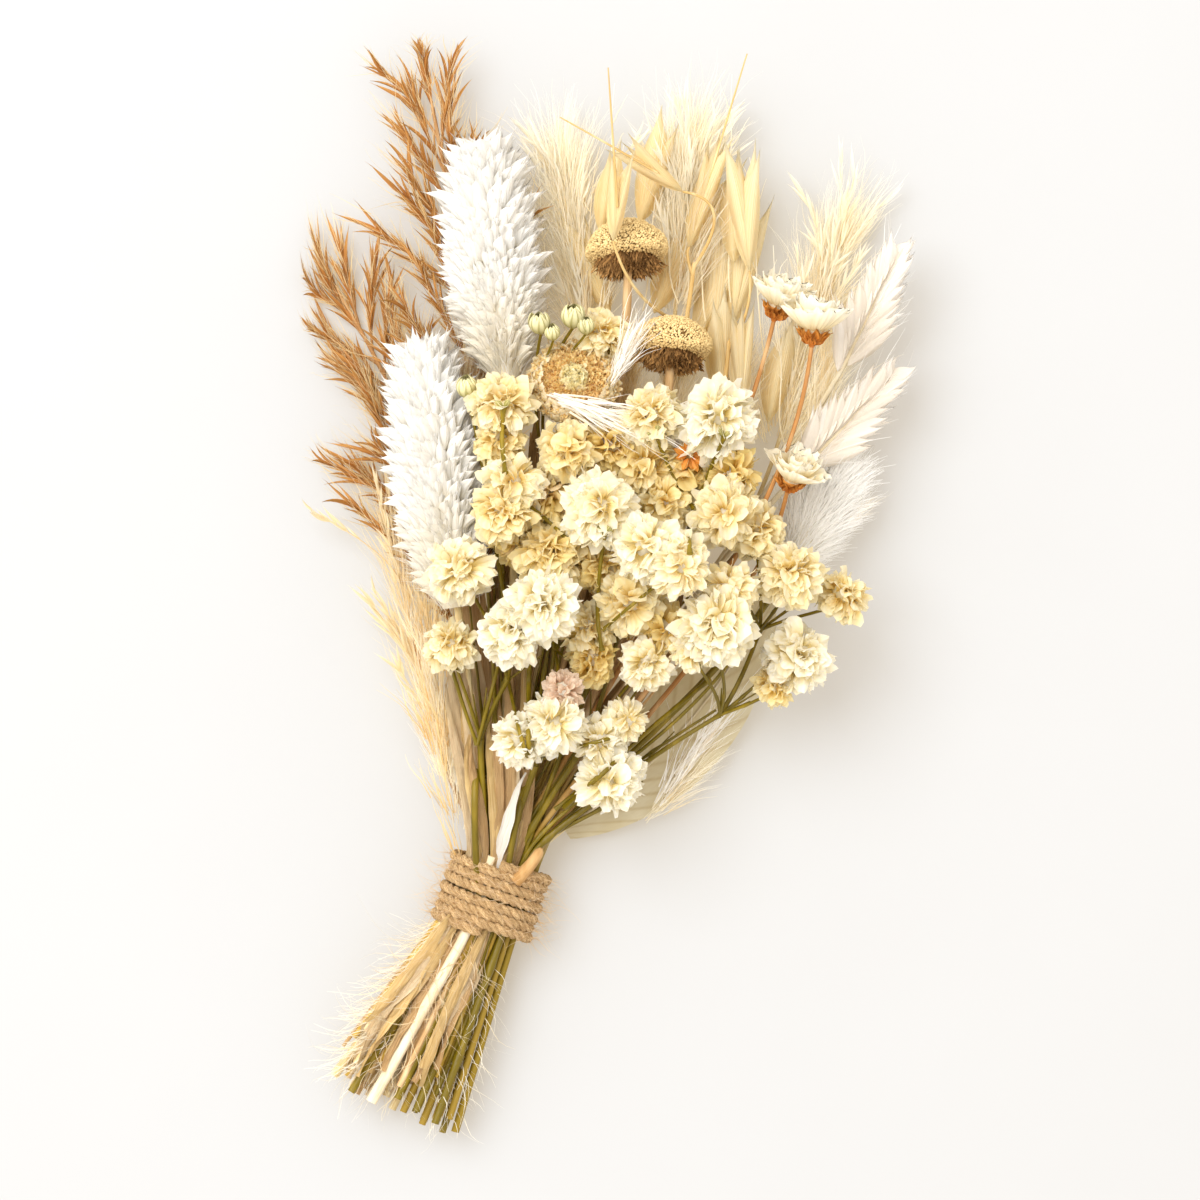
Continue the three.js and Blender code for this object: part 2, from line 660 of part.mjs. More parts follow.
function daisyStem({ slot, middle, look, arrive }) {
  const way = look.clone().normalize();
  const foot = along(middle, [way, -3.2]);
  const line = route({ slot, foot, arrive: arrive ?? along(way, [point(0, 1, 0), 0.6]), climb: 0.2, steps: 5 });
  const top = along(middle, [way, 0.25 - GAP]);
  const calyx = scaled({
    foot: along(foot, [way, -0.6]),
    direction: way,
    profile: (t) => [mix(0.9, 2.6, t), t * (foot.distanceTo(top) + 0.2)],
    around: 6,
    rows: 3,
    rise: () => 0.5,
    lean: () => 0.6,
  });
  return { line, solid: fuse([stalk(line, (t) => mix(0.8, 0.5, t)), calyx]) };
}

// ---------------------------------------------------------------- blades and leaf
const BLADES = {
  straw_blades: {
    slot: [-1.5, -1], colour: "tan",
    blades: [
      { foot: point(-5.6, 58, 7.4), arrive: point(-0.12, 1, 0.02), width: 2.9 },
      { foot: point(3.4, 66, 8.6), arrive: point(0.08, 1, 0.04), width: 3.2 },
    ],
  },
  white_blade: {
    slot: [-1, 2], colour: "white",
    blades: [{ foot: point(5.6, 26, 15.4), arrive: point(0.3, 1, 0.1), width: 1.6 }],
  },
};
function strap({ slot, blades }) {
  const widths = [1.3, 0.85, 0.85, 1.6, 1, 1, 0.92, 0.6, 0.3];
  const made = blades.map(({ foot, arrive, width }) => {
    const line = route({ slot, foot, arrive, steps: 5 });
    const half = (i) => (i > 3 ? widths[i] * width : widths[i]);
    return blade(line, (t) => half(Math.round(t * (widths.length - 1))), 0.8, 0.12);
  });
  return { solid: fuse(made) };
}

// The pale leaf: a broad thin oval on its stalk, low at the right.
const LEAF = { slot: [2, -2], foot: point(16, 15, 4.6), tip: point(57, 62, 5), half: 9.5 };
function paleLeaf() {
  const line = route({ slot: LEAF.slot, foot: LEAF.foot, arrive: point(0.8, 0.7, 0) });
  const spine = new THREE.QuadraticBezierCurve3(
    along(LEAF.foot, [point(0.7, 0.7, 0), -2]),
    point(42, 30, 5.4),
    LEAF.tip,
  ).getPoints(9);
  const width = (t) => Math.max(0.5, LEAF.half * Math.sin(Math.PI * Math.min(1, 0.06 + t * 0.94)) ** 0.7);
  return { line, solid: fuse([stalk(line, () => 0.75), blade(spine, width, 0.9, 0.1)]) };
}

// ---------------------------------------------------------------- twine
// Six turns of twine round the stems, and the stub of its end, pressed flat where the bunch lies on it.
function twine() {
  const steps = TWINE.turns * TWINE.steps;
  const start = -Math.PI / 2 - Math.PI * TWINE.turns;
  const line = Array.from({ length: steps + 1 }, (_, i) => {
    const angle = start + (i * 2 * Math.PI) / TWINE.steps;
    const shift = ((i - steps / 2) / TWINE.steps) * TWINE.pitch;
    return along(
      point(0, 0, TIE.z),
      [ACROSS, (TWINE.across + TWINE.radius) * Math.cos(angle)],
      [UP, (TWINE.deep + TWINE.radius) * Math.sin(angle)],
      [AXIS, shift],
    );
  });
  const coil = stalk(line, () => TWINE.radius, STEM_SIDES);
  const root = line[steps - 5];
  const end = [root, along(root, [AXIS, 5], [UP, 1.5]), along(root, [AXIS, 11], [ACROSS, 1.2], [UP, 2.6])];
  return grounded(fuse([coil, stalk(end, (t) => mix(1.35, 0.8, t))]));
}

// ---------------------------------------------------------------- the bunch
const REEDS = {
  reed_left: { slot: [-2, -2], foot: point(-31, 122, 1.5), arrive: point(-0.55, 0.83, 0), start: 0.6, side: 0.9 },
  reed_top: { slot: [-1, -2], foot: point(-12, 160, 5.7), arrive: point(-0.2, 1, 0), start: 0.58, side: 0.75 },
};
const PLUMES = {
  tan_plume: {
    slot: [-2.5, -1], foot: point(-9, 26, 6), tip: point(-26, 92, 4.8), radius: 3.4, colour: "tan", squeeze: 0.6,
    arrive: point(-0.15, 1, 0), lift: 1.8,
  },
  top_plume: { slot: [0, -2], foot: point(20, 108, 5.4), tip: point(13, 162, 6.6), radius: 5.6, colour: "plume" },
  middle_plume: { slot: [-0.5, -1], foot: point(37, 116, 6), tip: point(42, 164, 7.4), radius: 4.6, colour: "plume" },
  right_plume: {
    slot: [1, -2], foot: point(57, 88, 4.5), tip: point(76, 150, 5), radius: 6.6, colour: "plume",
    rows: 11, around: 7,
  },
};
const OATS = {
  oats_left: {
    slot: [1, 0], foot: point(41, 128, 12.4), arrive: point(0.1, 1, 0.12),
    spikelets: [
      {
        leaves: 0.93, foot: point(24.6, 131, 31), tip: point(27, 150, 32), over: point(28, 118, 34),
        awn: point(23.6, 165, 34),
      },
      {
        leaves: 0.995, foot: point(38.6, 141.5, 22), tip: point(24, 152, 24), over: point(50, 140, 18),
        awn: point(14, 156, 26),
      },
      {
        leaves: 0.985, foot: point(40, 131, 12), tip: point(47, 156, 13), over: point(39, 130, 13),
        awn: point(51.6, 170, 14),
      },
    ],
  },
  oats_right: {
    slot: [0.5, -1], foot: point(48, 112, 13), arrive: point(0.05, 1, 0.1),
    spikelets: [
      { leaves: 0.9, foot: point(50.6, 98, 15), tip: point(49.6, 121, 18), over: point(49, 96, 14) },
      { leaves: 0.99, foot: point(48.6, 115, 8.6), tip: point(53.6, 146, 7.6), over: point(48, 113, 12) },
      { leaves: 0.99, foot: point(52, 126, 17), tip: point(51, 154, 19), over: point(53, 118, 16) },
    ],
  },
};
const EARS = {
  ear_high: {
    slot: [1.5, -1], foot: point(70.5, 106, 15), tip: point(84, 134, 15), arrive: point(0.55, 1, 0.25), width: 3.2,
  },
  ear_low: {
    slot: [3, 0], foot: point(62.5, 86, 17), tip: point(84, 108.5, 14), arrive: point(0.7, 0.7, 0.1), width: 3,
  },
};

const bunch = new THREE.Group();
const stems = []; // lines and thicknesses of all stems, which every head keeps clear of
const pieces = [];
const keep = (name, colour, solid) => pieces.push({ name, colour, solid });

for (const [name, item] of Object.entries(HEAD_STEMS)) {
  const line = route({ ...item, arrive: item.arrive ?? item.tip.clone().sub(item.foot) });
  stems.push({ name, line, radius: item.radius });
  keep(name + "_stem", item.colour, stalk(line, (t) => mix(item.radius + 0.1, item.radius, t)));
}
const carriers = [
  ...Object.entries(REEDS).map(([name, item], i) => [name, "reed", reed(item, i + 3)]),
  ...Object.entries(PLUMES).map(([name, item], i) => [name, item.colour, plume(item, i + 11)]),
  ...Object.entries(OATS).map(([name, item]) => [name, "straw", oats(item)]),
  ...Object.entries(EARS).map(([name, item], i) => [name, "white", ear(item, i + 31)]),
  ...Object.entries(BLADES).map(([name, item]) => [name, item.colour, strap(item)]),
  ...Object.entries(DAISIES).map(([name, item]) => [`daisy_${name}_stem`, "orange", daisyStem(item)]),
  ["pale_leaf", "leaf", paleLeaf()],
];
for (const [name, colour, made] of carriers) keep(name, colour, made.solid);
const clusters = bloomClusters();
for (const side of SPRAYS) keep(`gypsophila_${side}`, "olive", spray(side, clusters));
keep("canary_low", "white", canaryHead(HEAD_STEMS.canary_low, 21));
keep("canary_high", "white", canaryHead(HEAD_STEMS.canary_high, 22));
keep("dome_high", "seed", domeHead(HEAD_STEMS.dome_high, 7.6, 23));
keep("dome_low", "seed", domeHead(HEAD_STEMS.dome_low, 7.3, 24));
keep("button", "button", buttonHead(HEAD_STEMS.button, 25));
keep("bunny", "white", bunnyHead(HEAD_STEMS.bunny, 26));
for (const [name, item] of Object.entries(DAISIES)) keep(`daisy_${name}`, "white", daisyPetals(item, item.slot[0]));
clusters.forEach(({ solid }, i) => keep(`bloom_${i + 1}`, "cream", solid));
keep("twine", "jute", twine());

for (const { name, colour, solid } of pieces) {
  const mesh = solid.getMesh();
  const geometry = new THREE.BufferGeometry();
  geometry.setAttribute("position", new THREE.BufferAttribute(mesh.vertProperties, 3));
  geometry.setIndex(new THREE.BufferAttribute(mesh.triVerts, 1));
  geometry.computeVertexNormals();
  const material = new THREE.MeshStandardMaterial({ color: COLOURS[colour], roughness: 0.85, metalness: 0 });
  const shown = new THREE.Mesh(geometry, material);
  shown.name = name;
  bunch.add(shown);
}

export default bunch;
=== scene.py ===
"""The looks of a hand-tied bunch of dried grasses and flowers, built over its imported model.

Tables are in millimetres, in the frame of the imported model: +Y runs along the bunch towards its heads, +Z is
up, and the origin is on the surface below the binding. Meshes are in metres.
"""

import json
import math

import bpy
import numpy as np
from mathutils import Matrix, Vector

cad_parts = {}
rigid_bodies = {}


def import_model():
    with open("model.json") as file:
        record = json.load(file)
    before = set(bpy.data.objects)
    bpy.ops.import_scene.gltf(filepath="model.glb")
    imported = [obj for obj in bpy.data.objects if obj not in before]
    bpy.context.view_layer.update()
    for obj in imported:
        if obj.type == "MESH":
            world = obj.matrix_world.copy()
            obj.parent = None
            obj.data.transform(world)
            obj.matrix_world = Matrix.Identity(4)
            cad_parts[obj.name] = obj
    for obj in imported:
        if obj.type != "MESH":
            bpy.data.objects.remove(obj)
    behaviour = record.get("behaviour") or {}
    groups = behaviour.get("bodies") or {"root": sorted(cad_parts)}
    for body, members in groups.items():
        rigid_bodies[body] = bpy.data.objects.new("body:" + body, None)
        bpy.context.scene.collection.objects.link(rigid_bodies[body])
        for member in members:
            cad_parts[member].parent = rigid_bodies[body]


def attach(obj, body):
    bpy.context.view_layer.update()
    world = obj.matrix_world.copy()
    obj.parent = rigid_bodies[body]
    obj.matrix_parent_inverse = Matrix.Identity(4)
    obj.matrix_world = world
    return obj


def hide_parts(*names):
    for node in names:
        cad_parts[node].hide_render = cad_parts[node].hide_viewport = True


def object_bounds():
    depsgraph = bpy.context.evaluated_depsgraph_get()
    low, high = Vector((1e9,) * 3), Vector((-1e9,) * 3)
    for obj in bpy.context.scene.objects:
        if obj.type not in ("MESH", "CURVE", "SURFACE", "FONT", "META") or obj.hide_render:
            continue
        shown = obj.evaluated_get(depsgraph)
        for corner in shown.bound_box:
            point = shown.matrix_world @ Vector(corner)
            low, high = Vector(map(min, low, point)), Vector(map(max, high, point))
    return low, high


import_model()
CAD_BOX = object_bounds()

bl_info = {
    "name": "Dried bunch",
    "version": (1, 0, 0),
    "blender": (4, 5, 0),
    "location": "3D View > Sidebar > Dried bunch",
    "description": "Grows the heads, petals, stems and binding of a bunch of dried flowers",
    "category": "Object",
}

MM = 0.001
UP = np.array([0.0, 0.0, 1.0])
TIE_Z, TIE_COLUMN, TIE_ROW, TIE_HALF = 8.15, 2.25, 1.95, 7.6
TAIL_LENGTH, TAIL_COLUMN, TAIL_ROW, TAIL_UNEVEN = 44, 4.5, 2.3, 4
SEAT = 0.7  # how far a head starts past the foot of its way
# Turns in radians: the step of a spiral of seeds, a full turn, and a fifth and a third of it.
GOLDEN, FULL_TURN, FIFTH_TURN, THIRD_TURN = 2.39996, 6.2832, 1.2566, 2.0944
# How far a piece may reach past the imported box, as a share of it, and over how many metres it is eased back:
# at the sides, at the surface and at the top. The lowest place is just above the surface.
SLACK, SIDE_ROOM, LOW_ROOM, TOP_ROOM, LOWEST = 0.025, 0.007, 0.0012, 0.003, 0.0001


# ---------------------------------------------------------------- vectors and lines
def vec(*numbers):
    return np.array(numbers, float)


def unit(v):
    v = np.asarray(v, float)
    return v / np.maximum(np.linalg.norm(v, axis=-1, keepdims=True), 1e-9)


def mix(a, b, t):
    return a + (b - a) * t


def leaning(degrees):
    """The axis of a part of the bunch that leans from +Y towards +X, and the way across it."""
    angle = math.radians(degrees)
    return vec(math.sin(angle), math.cos(angle), 0), vec(math.cos(angle), -math.sin(angle), 0)


AXIS, ACROSS = leaning(18)
TAIL_AXIS, TAIL_ACROSS = leaning(25)


def draw(seed):
    """The same repeatable draw between 0 and 1 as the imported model's."""
    state = seed * 7919.0 + 17.0
    while True:
        state = math.fmod(state * 1103515245.0 + 12345.0, 2147483648.0)
        yield state / 2147483648.0


def straight(a, b, steps):
    """A straight line of points."""
    return a + (b - a) * np.linspace(0, 1, steps + 1)[:, None]


def cubic(a, b, c, d, steps):
    """A curve from a to d that leaves towards b and comes in from c."""
    t = np.linspace(0, 1, steps + 1)[:, None]
    return (1 - t) ** 3 * a + 3 * (1 - t) ** 2 * t * b + 3 * (1 - t) * t * t * c + t**3 * d


def ease(line, passes):
    """Rounds the bends of a line and keeps its ends."""
    line = line.copy()
    for _ in range(passes):
        line[1:-1] += 0.5 * (0.5 * (line[:-2] + line[2:]) - line[1:-1])
    return line


def lengths(line):
    """The distance along a line of each of its points."""
    return np.concatenate([[0], np.cumsum(np.linalg.norm(np.diff(line, axis=0), axis=1))])


def tangents(line):
    """The direction of a line at each of its points."""
    return unit(np.gradient(line, axis=0))


def point_at(line, share):
    """The places and directions at shares of a line's length."""
    run = lengths(line)
    spots = np.atleast_1d(share) * run[-1]
    ways = tangents(line)
    place = np.stack([np.interp(spots, run, line[:, k]) for k in range(3)], axis=1)
    return place, unit(np.stack([np.interp(spots, run, ways[:, k]) for k in range(3)], axis=1))


def share_along(line):
    """How far along a line each of its points is, from 0 to 1."""
    run = lengths(line)
    return run / run[-1]


def way_to(foot, tip):
    """The way from one place to another, and how far it is."""
    return unit(tip - foot), np.linalg.norm(tip - foot)


def widened(size, wide):
    """The sizes of shapes along their three sides, with only their widths changed."""
    return np.stack([size * wide, size, size], 1)


def sides_of(way, near=UP):
    """Two directions across a way, the first of them level."""
    side = unit(np.cross(way, near))
    return side, np.cross(side, way)


def in_tie(slot, distance):
    """A stem's place in the binding, at a distance from its middle."""
    return vec(0, 0, TIE_Z) + ACROSS * slot[0] * TIE_COLUMN + UP * slot[1] * TIE_ROW + AXIS * distance


def cut_end(slot):
    """Where a stem is cut off below the binding."""
    uneven = next(draw(slot[0] * 4 + slot[1] * 31 + 200)) * TAIL_UNEVEN
    end = vec(0, 0, TIE_Z + 0.6) - TAIL_AXIS * (TAIL_LENGTH + uneven)
    return end + TAIL_ACROSS * slot[0] * TAIL_COLUMN + UP * slot[1] * TAIL_ROW


def route(slot, foot, arrive, climb=0.0, steps=30):
    """A stem's line from its cut end through the binding to the foot of its head."""
    start, foot = in_tie(slot, TIE_HALF), np.asarray(foot, float)
    distance = np.linalg.norm(foot - start)
    leave = min(distance * 0.2, 14)
    rise = cubic(
        start, start + (AXIS + UP * climb) * leave, foot - unit(arrive) * distance * 0.36, foot, steps
    )
    tail = straight(cut_end(slot), in_tie(slot, -TIE_HALF), 14)
    return ease(np.concatenate([tail[:-1], straight(in_tie(slot, -TIE_HALF), start, 5)[:-1], rise]), 4)


# ---------------------------------------------------------------- node trees
class Value:
    """A socket of a node tree. Sums of values add Math nodes."""

    def __init__(self, nodes, socket):
        self.nodes, self.socket = nodes, socket

    def _math(self, operation, first, second):
        return self.nodes.add("ShaderNodeMath", {"operation": operation}, {0: first, 1: second})

    def __add__(self, other):
        return self._math("ADD", self, other)

    def __radd__(self, other):
        return self._math("ADD", other, self)

    def __sub__(self, other):
        return self._math("SUBTRACT", self, other)

    def __rsub__(self, other):
        return self._math("SUBTRACT", other, self)

    def __mul__(self, other):
        return self._math("MULTIPLY", self, other)

    def __rmul__(self, other):
        return self._math("MULTIPLY", other, self)

    def __truediv__(self, other):
        return self._math("DIVIDE", self, other)

    def __rtruediv__(self, other):
        return self._math("DIVIDE", other, self)

    def __pow__(self, other):
        return self._math("POWER", self, other)

    def sine(self):
        return self._math("SINE", self, 0.0)

    def size(self):
        return self._math("ABSOLUTE", self, 0.0)

    def between(self, low, high):
        """0 at low, 1 at high, and level beyond them."""
        return self.nodes.add("ShaderNodeMapRange", {}, {0: self, 1: low, 2: high})


def rgba(colour):
    """A colour for a node. A name stands for a colour that the user may change in the panel."""
    if isinstance(colour, str):
        colour = getattr(bpy.context.scene.dried_bunch.colours, colour)
    return colour if isinstance(colour, Value) else (*colour, 1)


class Nodes:
    """A node tree, and the one way in which nodes are added to it."""

    def __init__(self, tree):
        self.tree = tree

    def add(self, kind, settings=None, inputs=None, output=0):
        node = self.tree.nodes.new(kind)
        for name, value in (settings or {}).items():
            if name == "stops":
                for _ in value[2:]:
                    node.color_ramp.elements.new(0.5)
                for element, (position, colour) in zip(node.color_ramp.elements, value):
                    element.position, element.color = position, rgba(colour)
            else:
                setattr(node, name, value)
        for key, value in (inputs or {}).items():
            if isinstance(value, Value):
                self.tree.links.new(value.socket, node.inputs[key])
            else:
                node.inputs[key].default_value = value
        return Value(self, node.outputs[output])


class Finish(Nodes):
    """A material for one kind of surface. Its patterns are in millimetres."""

    def __init__(self, name):
        self.material = bpy.data.materials.new(name)
        self.material.use_nodes = True
        super().__init__(self.material.node_tree)
        self.tree.nodes.clear()
        self.tone = self.mark("tone")
        self.tip = self.mark("tip")

    def mark(self, name, output="Fac"):
        """A number or direction that the mesh carries."""
        return self.add("ShaderNodeAttribute", {"attribute_name": name}, output=output)

    def place(self, stretch=(1, 1, 1)):
        spot = self.add("ShaderNodeTexCoord", output="Object")
        return self.scaled(spot, [1000 * k for k in stretch])

    def scaled(self, vector, factors):
        return self.add("ShaderNodeVectorMath", {"operation": "MULTIPLY"}, {0: vector, 1: factors})

    def streaks(self, around=2.0, run=0.15):
        """Coordinates that run along a tube, for a pattern of long fibres."""
        lift = self.add("ShaderNodeCombineXYZ", {}, {2: self.mark("along") * run})
        ring = self.scaled(self.mark("ring", "Vector"), [around] * 3)
        shift = self.add("ShaderNodeCombineXYZ", {}, {0: self.tone * 40.0})
        both = self.add("ShaderNodeVectorMath", {"operation": "ADD"}, {0: ring, 1: lift})
        return self.add("ShaderNodeVectorMath", {"operation": "ADD"}, {0: both, 1: shift})

    def noise(self, vector, scale=1.0, detail=2.0, rough=0.55):
        inputs = {"Vector": vector, "Scale": scale, "Detail": detail, "Roughness": rough}
        return self.add("ShaderNodeTexNoise", {}, inputs)

    def pits(self, vector, scale=1.0):
        return self.add("ShaderNodeTexVoronoi", {}, {"Vector": vector, "Scale": scale})

    def ramp(self, value, *stops):
        return self.add("ShaderNodeValToRGB", {"stops": stops}, {0: value})

    def tint(self, factor, first, second, how="MIX"):
        settings = {"data_type": "RGBA", "blend_type": how, "clamp_factor": True}
        ends = {6 + k: rgba(colour) for k, colour in enumerate((first, second))}
        return self.add("ShaderNodeMix", settings, {0: factor, **ends}, output=2)

    def shaded(self, colour, dark, light, factor=None):
        """Makes each shape a little darker or lighter, by its tone."""
        shade = self.tint(factor or self.tone, dark, light)
        return self.tint(1.0, colour, shade, "MULTIPLY")

    def ribs(self, count, shift=0.0):
        """Fine ribs along a shape, from 0 to 1. shift is how far they move with its tone."""
        across = self.mark("across") * count
        if shift:
            across = across + self.tone * shift
        return across.sine() * 0.5 + 0.5

    def bump(self, height, depth, strength=1.0):
        """Raises the surface by a height of 0 to 1 times a depth in millimetres."""
        return self.add(
            "ShaderNodeBump", {}, {"Height": height, "Distance": depth * MM, "Strength": strength}, 0
        )

    def close(self, colour, roughness=0.75, normal=None, through=0.0, gloss=0.25, glow=0.0):
        """Ends the material. through is the share of light that passes a thin sheet of it."""
        surface = {"Base Color": colour, "Roughness": roughness, "Specular IOR Level": gloss}
        if glow:
            surface |= {"Emission Color": (1.0, 0.76, 0.45, 1), "Emission Strength": glow}
            self.material.cycles.emission_sampling = "NONE"
        if normal:
            surface["Normal"] = normal
        shader = self.add("ShaderNodeBsdfPrincipled", {}, surface)
        if through:
            shown = {"Color": colour, "Normal": normal} if normal else {"Color": colour}
            thin = self.add("ShaderNodeBsdfTranslucent", {}, shown)
            shader = self.add("ShaderNodeMixShader", {}, {0: through, 1: shader, 2: thin})
        self.add_output(shader)
        return self.material

    def add_output(self, shader):
        node = self.tree.nodes.new("ShaderNodeOutputMaterial")
        self.tree.links.new(shader.socket, node.inputs["Surface"])


def new_tree(name, sockets):
    """An empty Geometry Nodes tree with named inputs, and its input values by name."""
    tree = bpy.data.node_groups.new(name, "GeometryNodeTree")
    tree.interface.new_socket(name="Geometry", in_out="OUTPUT", socket_type="NodeSocketGeometry")
    tree.interface.new_socket(name="Geometry", in_out="INPUT", socket_type="NodeSocketGeometry")
    for label, (kind, default) in sockets.items():
        socket = tree.interface.new_socket(name=label, in_out="INPUT", socket_type="NodeSocket" + kind)
        if default is not None:
            socket.default_value = default
    nodes = Nodes(tree)
    source = tree.nodes.new("NodeGroupInput")
    return nodes, {socket.name: Value(nodes, socket) for socket in source.outputs if socket.name}


def end_tree(nodes, geometry, material):
    """Every tree ends as one plain mesh of one material."""
    real = nodes.add("GeometryNodeRealizeInstances", {}, {"Geometry": geometry})
    smooth = nodes.add("GeometryNodeSetShadeSmooth", {}, {"Geometry": real})
    shown = nodes.add("GeometryNodeSetMaterial", {}, {"Geometry": smooth, "Material": material})
    out = nodes.tree.nodes.new("NodeGroupOutput")
    nodes.tree.links.new(shown.socket, out.inputs[0])
    return nodes.tree


def crowd_tree():
    """Stands a copy of a small shape on each point: its length along way, its face towards face."""
    nodes, given = new_tree(
        "crowd",
        {
            "Shapes": ("Collection", None),
            "Size": ("Float", 1.0),
            "Tilt": ("Float", 0.0),
            "Seed": ("Int", 1),
            "Material": ("Material", None),
        },
    )

    def named(name, kind):
        return nodes.add("GeometryNodeInputNamedAttribute", {"data_type": kind}, {"Name": name})

    align = "FunctionNodeAlignRotationToVector"
    turn = nodes.add(align, {"axis": "Y"}, {"Vector": named("way", "FLOAT_VECTOR")})
    turn = nodes.add(
        align, {"axis": "Z", "pivot_axis": "Y"}, {"Rotation": turn, "Vector": named("face", "FLOAT_VECTOR")}
    )
    low = nodes.add("ShaderNodeMath", {"operation": "MULTIPLY"}, {0: given["Tilt"], 1: -1.0})
    jitter = nodes.add(
        "FunctionNodeRandomValue",
        {"data_type": "FLOAT_VECTOR"},
        {"Min": low, "Max": given["Tilt"], "Seed": given["Seed"]},
    )
    tilt = nodes.add("FunctionNodeEulerToRotation", {}, {"Euler": jitter})
    turn = nodes.add(
        "FunctionNodeRotateRotation", {"rotation_space": "LOCAL"}, {"Rotation": turn, "Rotate By": tilt}
    )
    scale = nodes.add(
        "ShaderNodeVectorMath", {"operation": "SCALE"},
        {0: named("size", "FLOAT_VECTOR"), "Scale": given["Size"]},
    )
    shapes = nodes.add(
        "GeometryNodeCollectionInfo",
        {},
        {"Collection": given["Shapes"], "Separate Children": True, "Reset Children": True},
    )
    copies = nodes.add(
        "GeometryNodeInstanceOnPoints",
        {},
        {
            "Points": given["Geometry"],
            "Instance": shapes,
            "Pick Instance": True,
            "Instance Index": named("pick", "INT"),
            "Rotation": turn,
            "Scale": scale,
        },
    )
    return end_tree(nodes, copies, given["Material"])


def tube_tree():
    """Runs a round tube along each line of a mesh, as thick as the line's radius says."""
    nodes, given = new_tree(
        "tube", {"Sides": ("Int", 8), "Thickness": ("Float", 1.0), "Material": ("Material", None)}
    )
    circle = nodes.add(
        "GeometryNodeCurvePrimitiveCircle", {"mode": "RADIUS"}, {"Resolution": given["Sides"], 4: 1.0}
    )
    spot = nodes.add("GeometryNodeInputPosition")
    marked = nodes.add(
        "GeometryNodeStoreNamedAttribute",
        {"data_type": "FLOAT_VECTOR", "domain": "POINT"},
        {"Geometry": circle, "Name": "ring", "Value": spot},
    )
    radius = nodes.add("GeometryNodeInputNamedAttribute", {"data_type": "FLOAT"}, {"Name": "radius"})
    curve = nodes.add("GeometryNodeMeshToCurve", {}, {"Mesh": given["Geometry"]})
    mesh = nodes.add(
        "GeometryNodeCurveToMesh",
        {},
        {"Curve": curve, "Profile Curve": marked, "Scale": radius * given["Thickness"], "Fill Caps": True},
    )
    return end_tree(nodes, mesh, given["Material"])


TREES = {}


def settle(source, tree, inputs):
    """Runs a tree on a mesh and keeps the result as a plain mesh in the same object."""
    if tree.__name__ not in TREES:
        TREES[tree.__name__] = tree()
    modifier = source.modifiers.new("grow", "NODES")
    modifier.node_group = TREES[tree.__name__]
    for item in modifier.node_group.interface.items_tree:
        if item.in_out == "INPUT" and item.name in inputs:
            modifier[item.identifier] = inputs[item.name]
    source.update_tag()
    graph = bpy.context.evaluated_depsgraph_get()
    made = bpy.data.meshes.new_from_object(
        source.evaluated_get(graph), preserve_all_data_layers=True, depsgraph=graph
    )
    if not len(made.polygons):
        raise RuntimeError(f"{source.name} grew nothing")
    source.modifiers.remove(modifier)
    old, source.data = source.data, made
    bpy.data.meshes.remove(old)
    return source


# ---------------------------------------------------------------- meshes
def put(mesh, name, kind, values):
    """Gives every point of a mesh a value."""
    attribute = mesh.attributes.new(name, kind, "POINT")
    key, width = ("vector", 3) if kind == "FLOAT_VECTOR" else ("value", 1)
    shape = (len(mesh.vertices), width) if width > 1 else (len(mesh.vertices),)
    attribute.data.foreach_set(
        key, np.broadcast_to(values, shape).astype(int if kind == "INT" else float).ravel()
    )


def put_object(name, mesh):
    """An object of a mesh, in the scene."""
    made = bpy.data.objects.new(name, mesh)
    bpy.context.scene.collection.objects.link(made)
    return made


def mesh_of(name, points, faces=(), edges=()):
    """A mesh from lists."""
    mesh = bpy.data.meshes.new(name)
    mesh.from_pydata(
        [tuple(p) for p in np.asarray(points, float)], [tuple(e) for e in edges], [tuple(f) for f in faces]
    )
    return mesh


def grid_faces(rows, columns):
    """Faces over a grid of points. They look up when its rows run along +Y and its columns along +X."""
    wide = columns + 1
    corners = [i * wide + j for i in range(rows) for j in range(columns)]
    return [(k, k + 1, k + 1 + wide, k + wide) for k in corners]


def sheet_shape(
    width, rows=6, columns=4, arch=0.2, bend=0.0, ruffle=0.0, waves=2.5, notch=0.0, seed=0, rounded=0.16
):
    """A thin petal or husk of unit length along +Y. width gives half its width for a share of its length,
    arch how far its middle stands above its edges, bend how far it turns towards its back, and ruffle how its
    outer edge waves."""
    random = np.random.default_rng(seed)
    t = np.linspace(0, 1, rows + 1)
    u = np.linspace(-1, 1, columns + 1)
    angle = bend * t**1.4
    y, z = (
        np.concatenate([[0], np.cumsum((f(angle[1:]) + f(angle[:-1])) / 2)]) / rows for f in (np.cos, np.sin)
    )
    phase = random.uniform(0, 6.28, 2)
    points, tips, across = [], [], []
    for i, share in enumerate(t):
        half = max(width(share), 0.004)
        for side in u:
            wave = ruffle * share**1.6 * math.sin(side * waves * 3.14 + phase[0])
            lift = wave - arch * half * 2 * side * side
            cut = -notch * share**3 * (
                0.5 + 0.5 * math.cos(side * 7 + phase[1])
            ) - rounded * share**3 * side * side
            away = vec(0, -math.sin(angle[i]), math.cos(angle[i])) * lift + vec(
                0, math.cos(angle[i]), math.sin(angle[i])
            ) * cut
            points.append(vec(side * half, y[i], z[i]) + away)
            tips.append(share)
            across.append(side)
    return points, grid_faces(rows, columns), tips, across


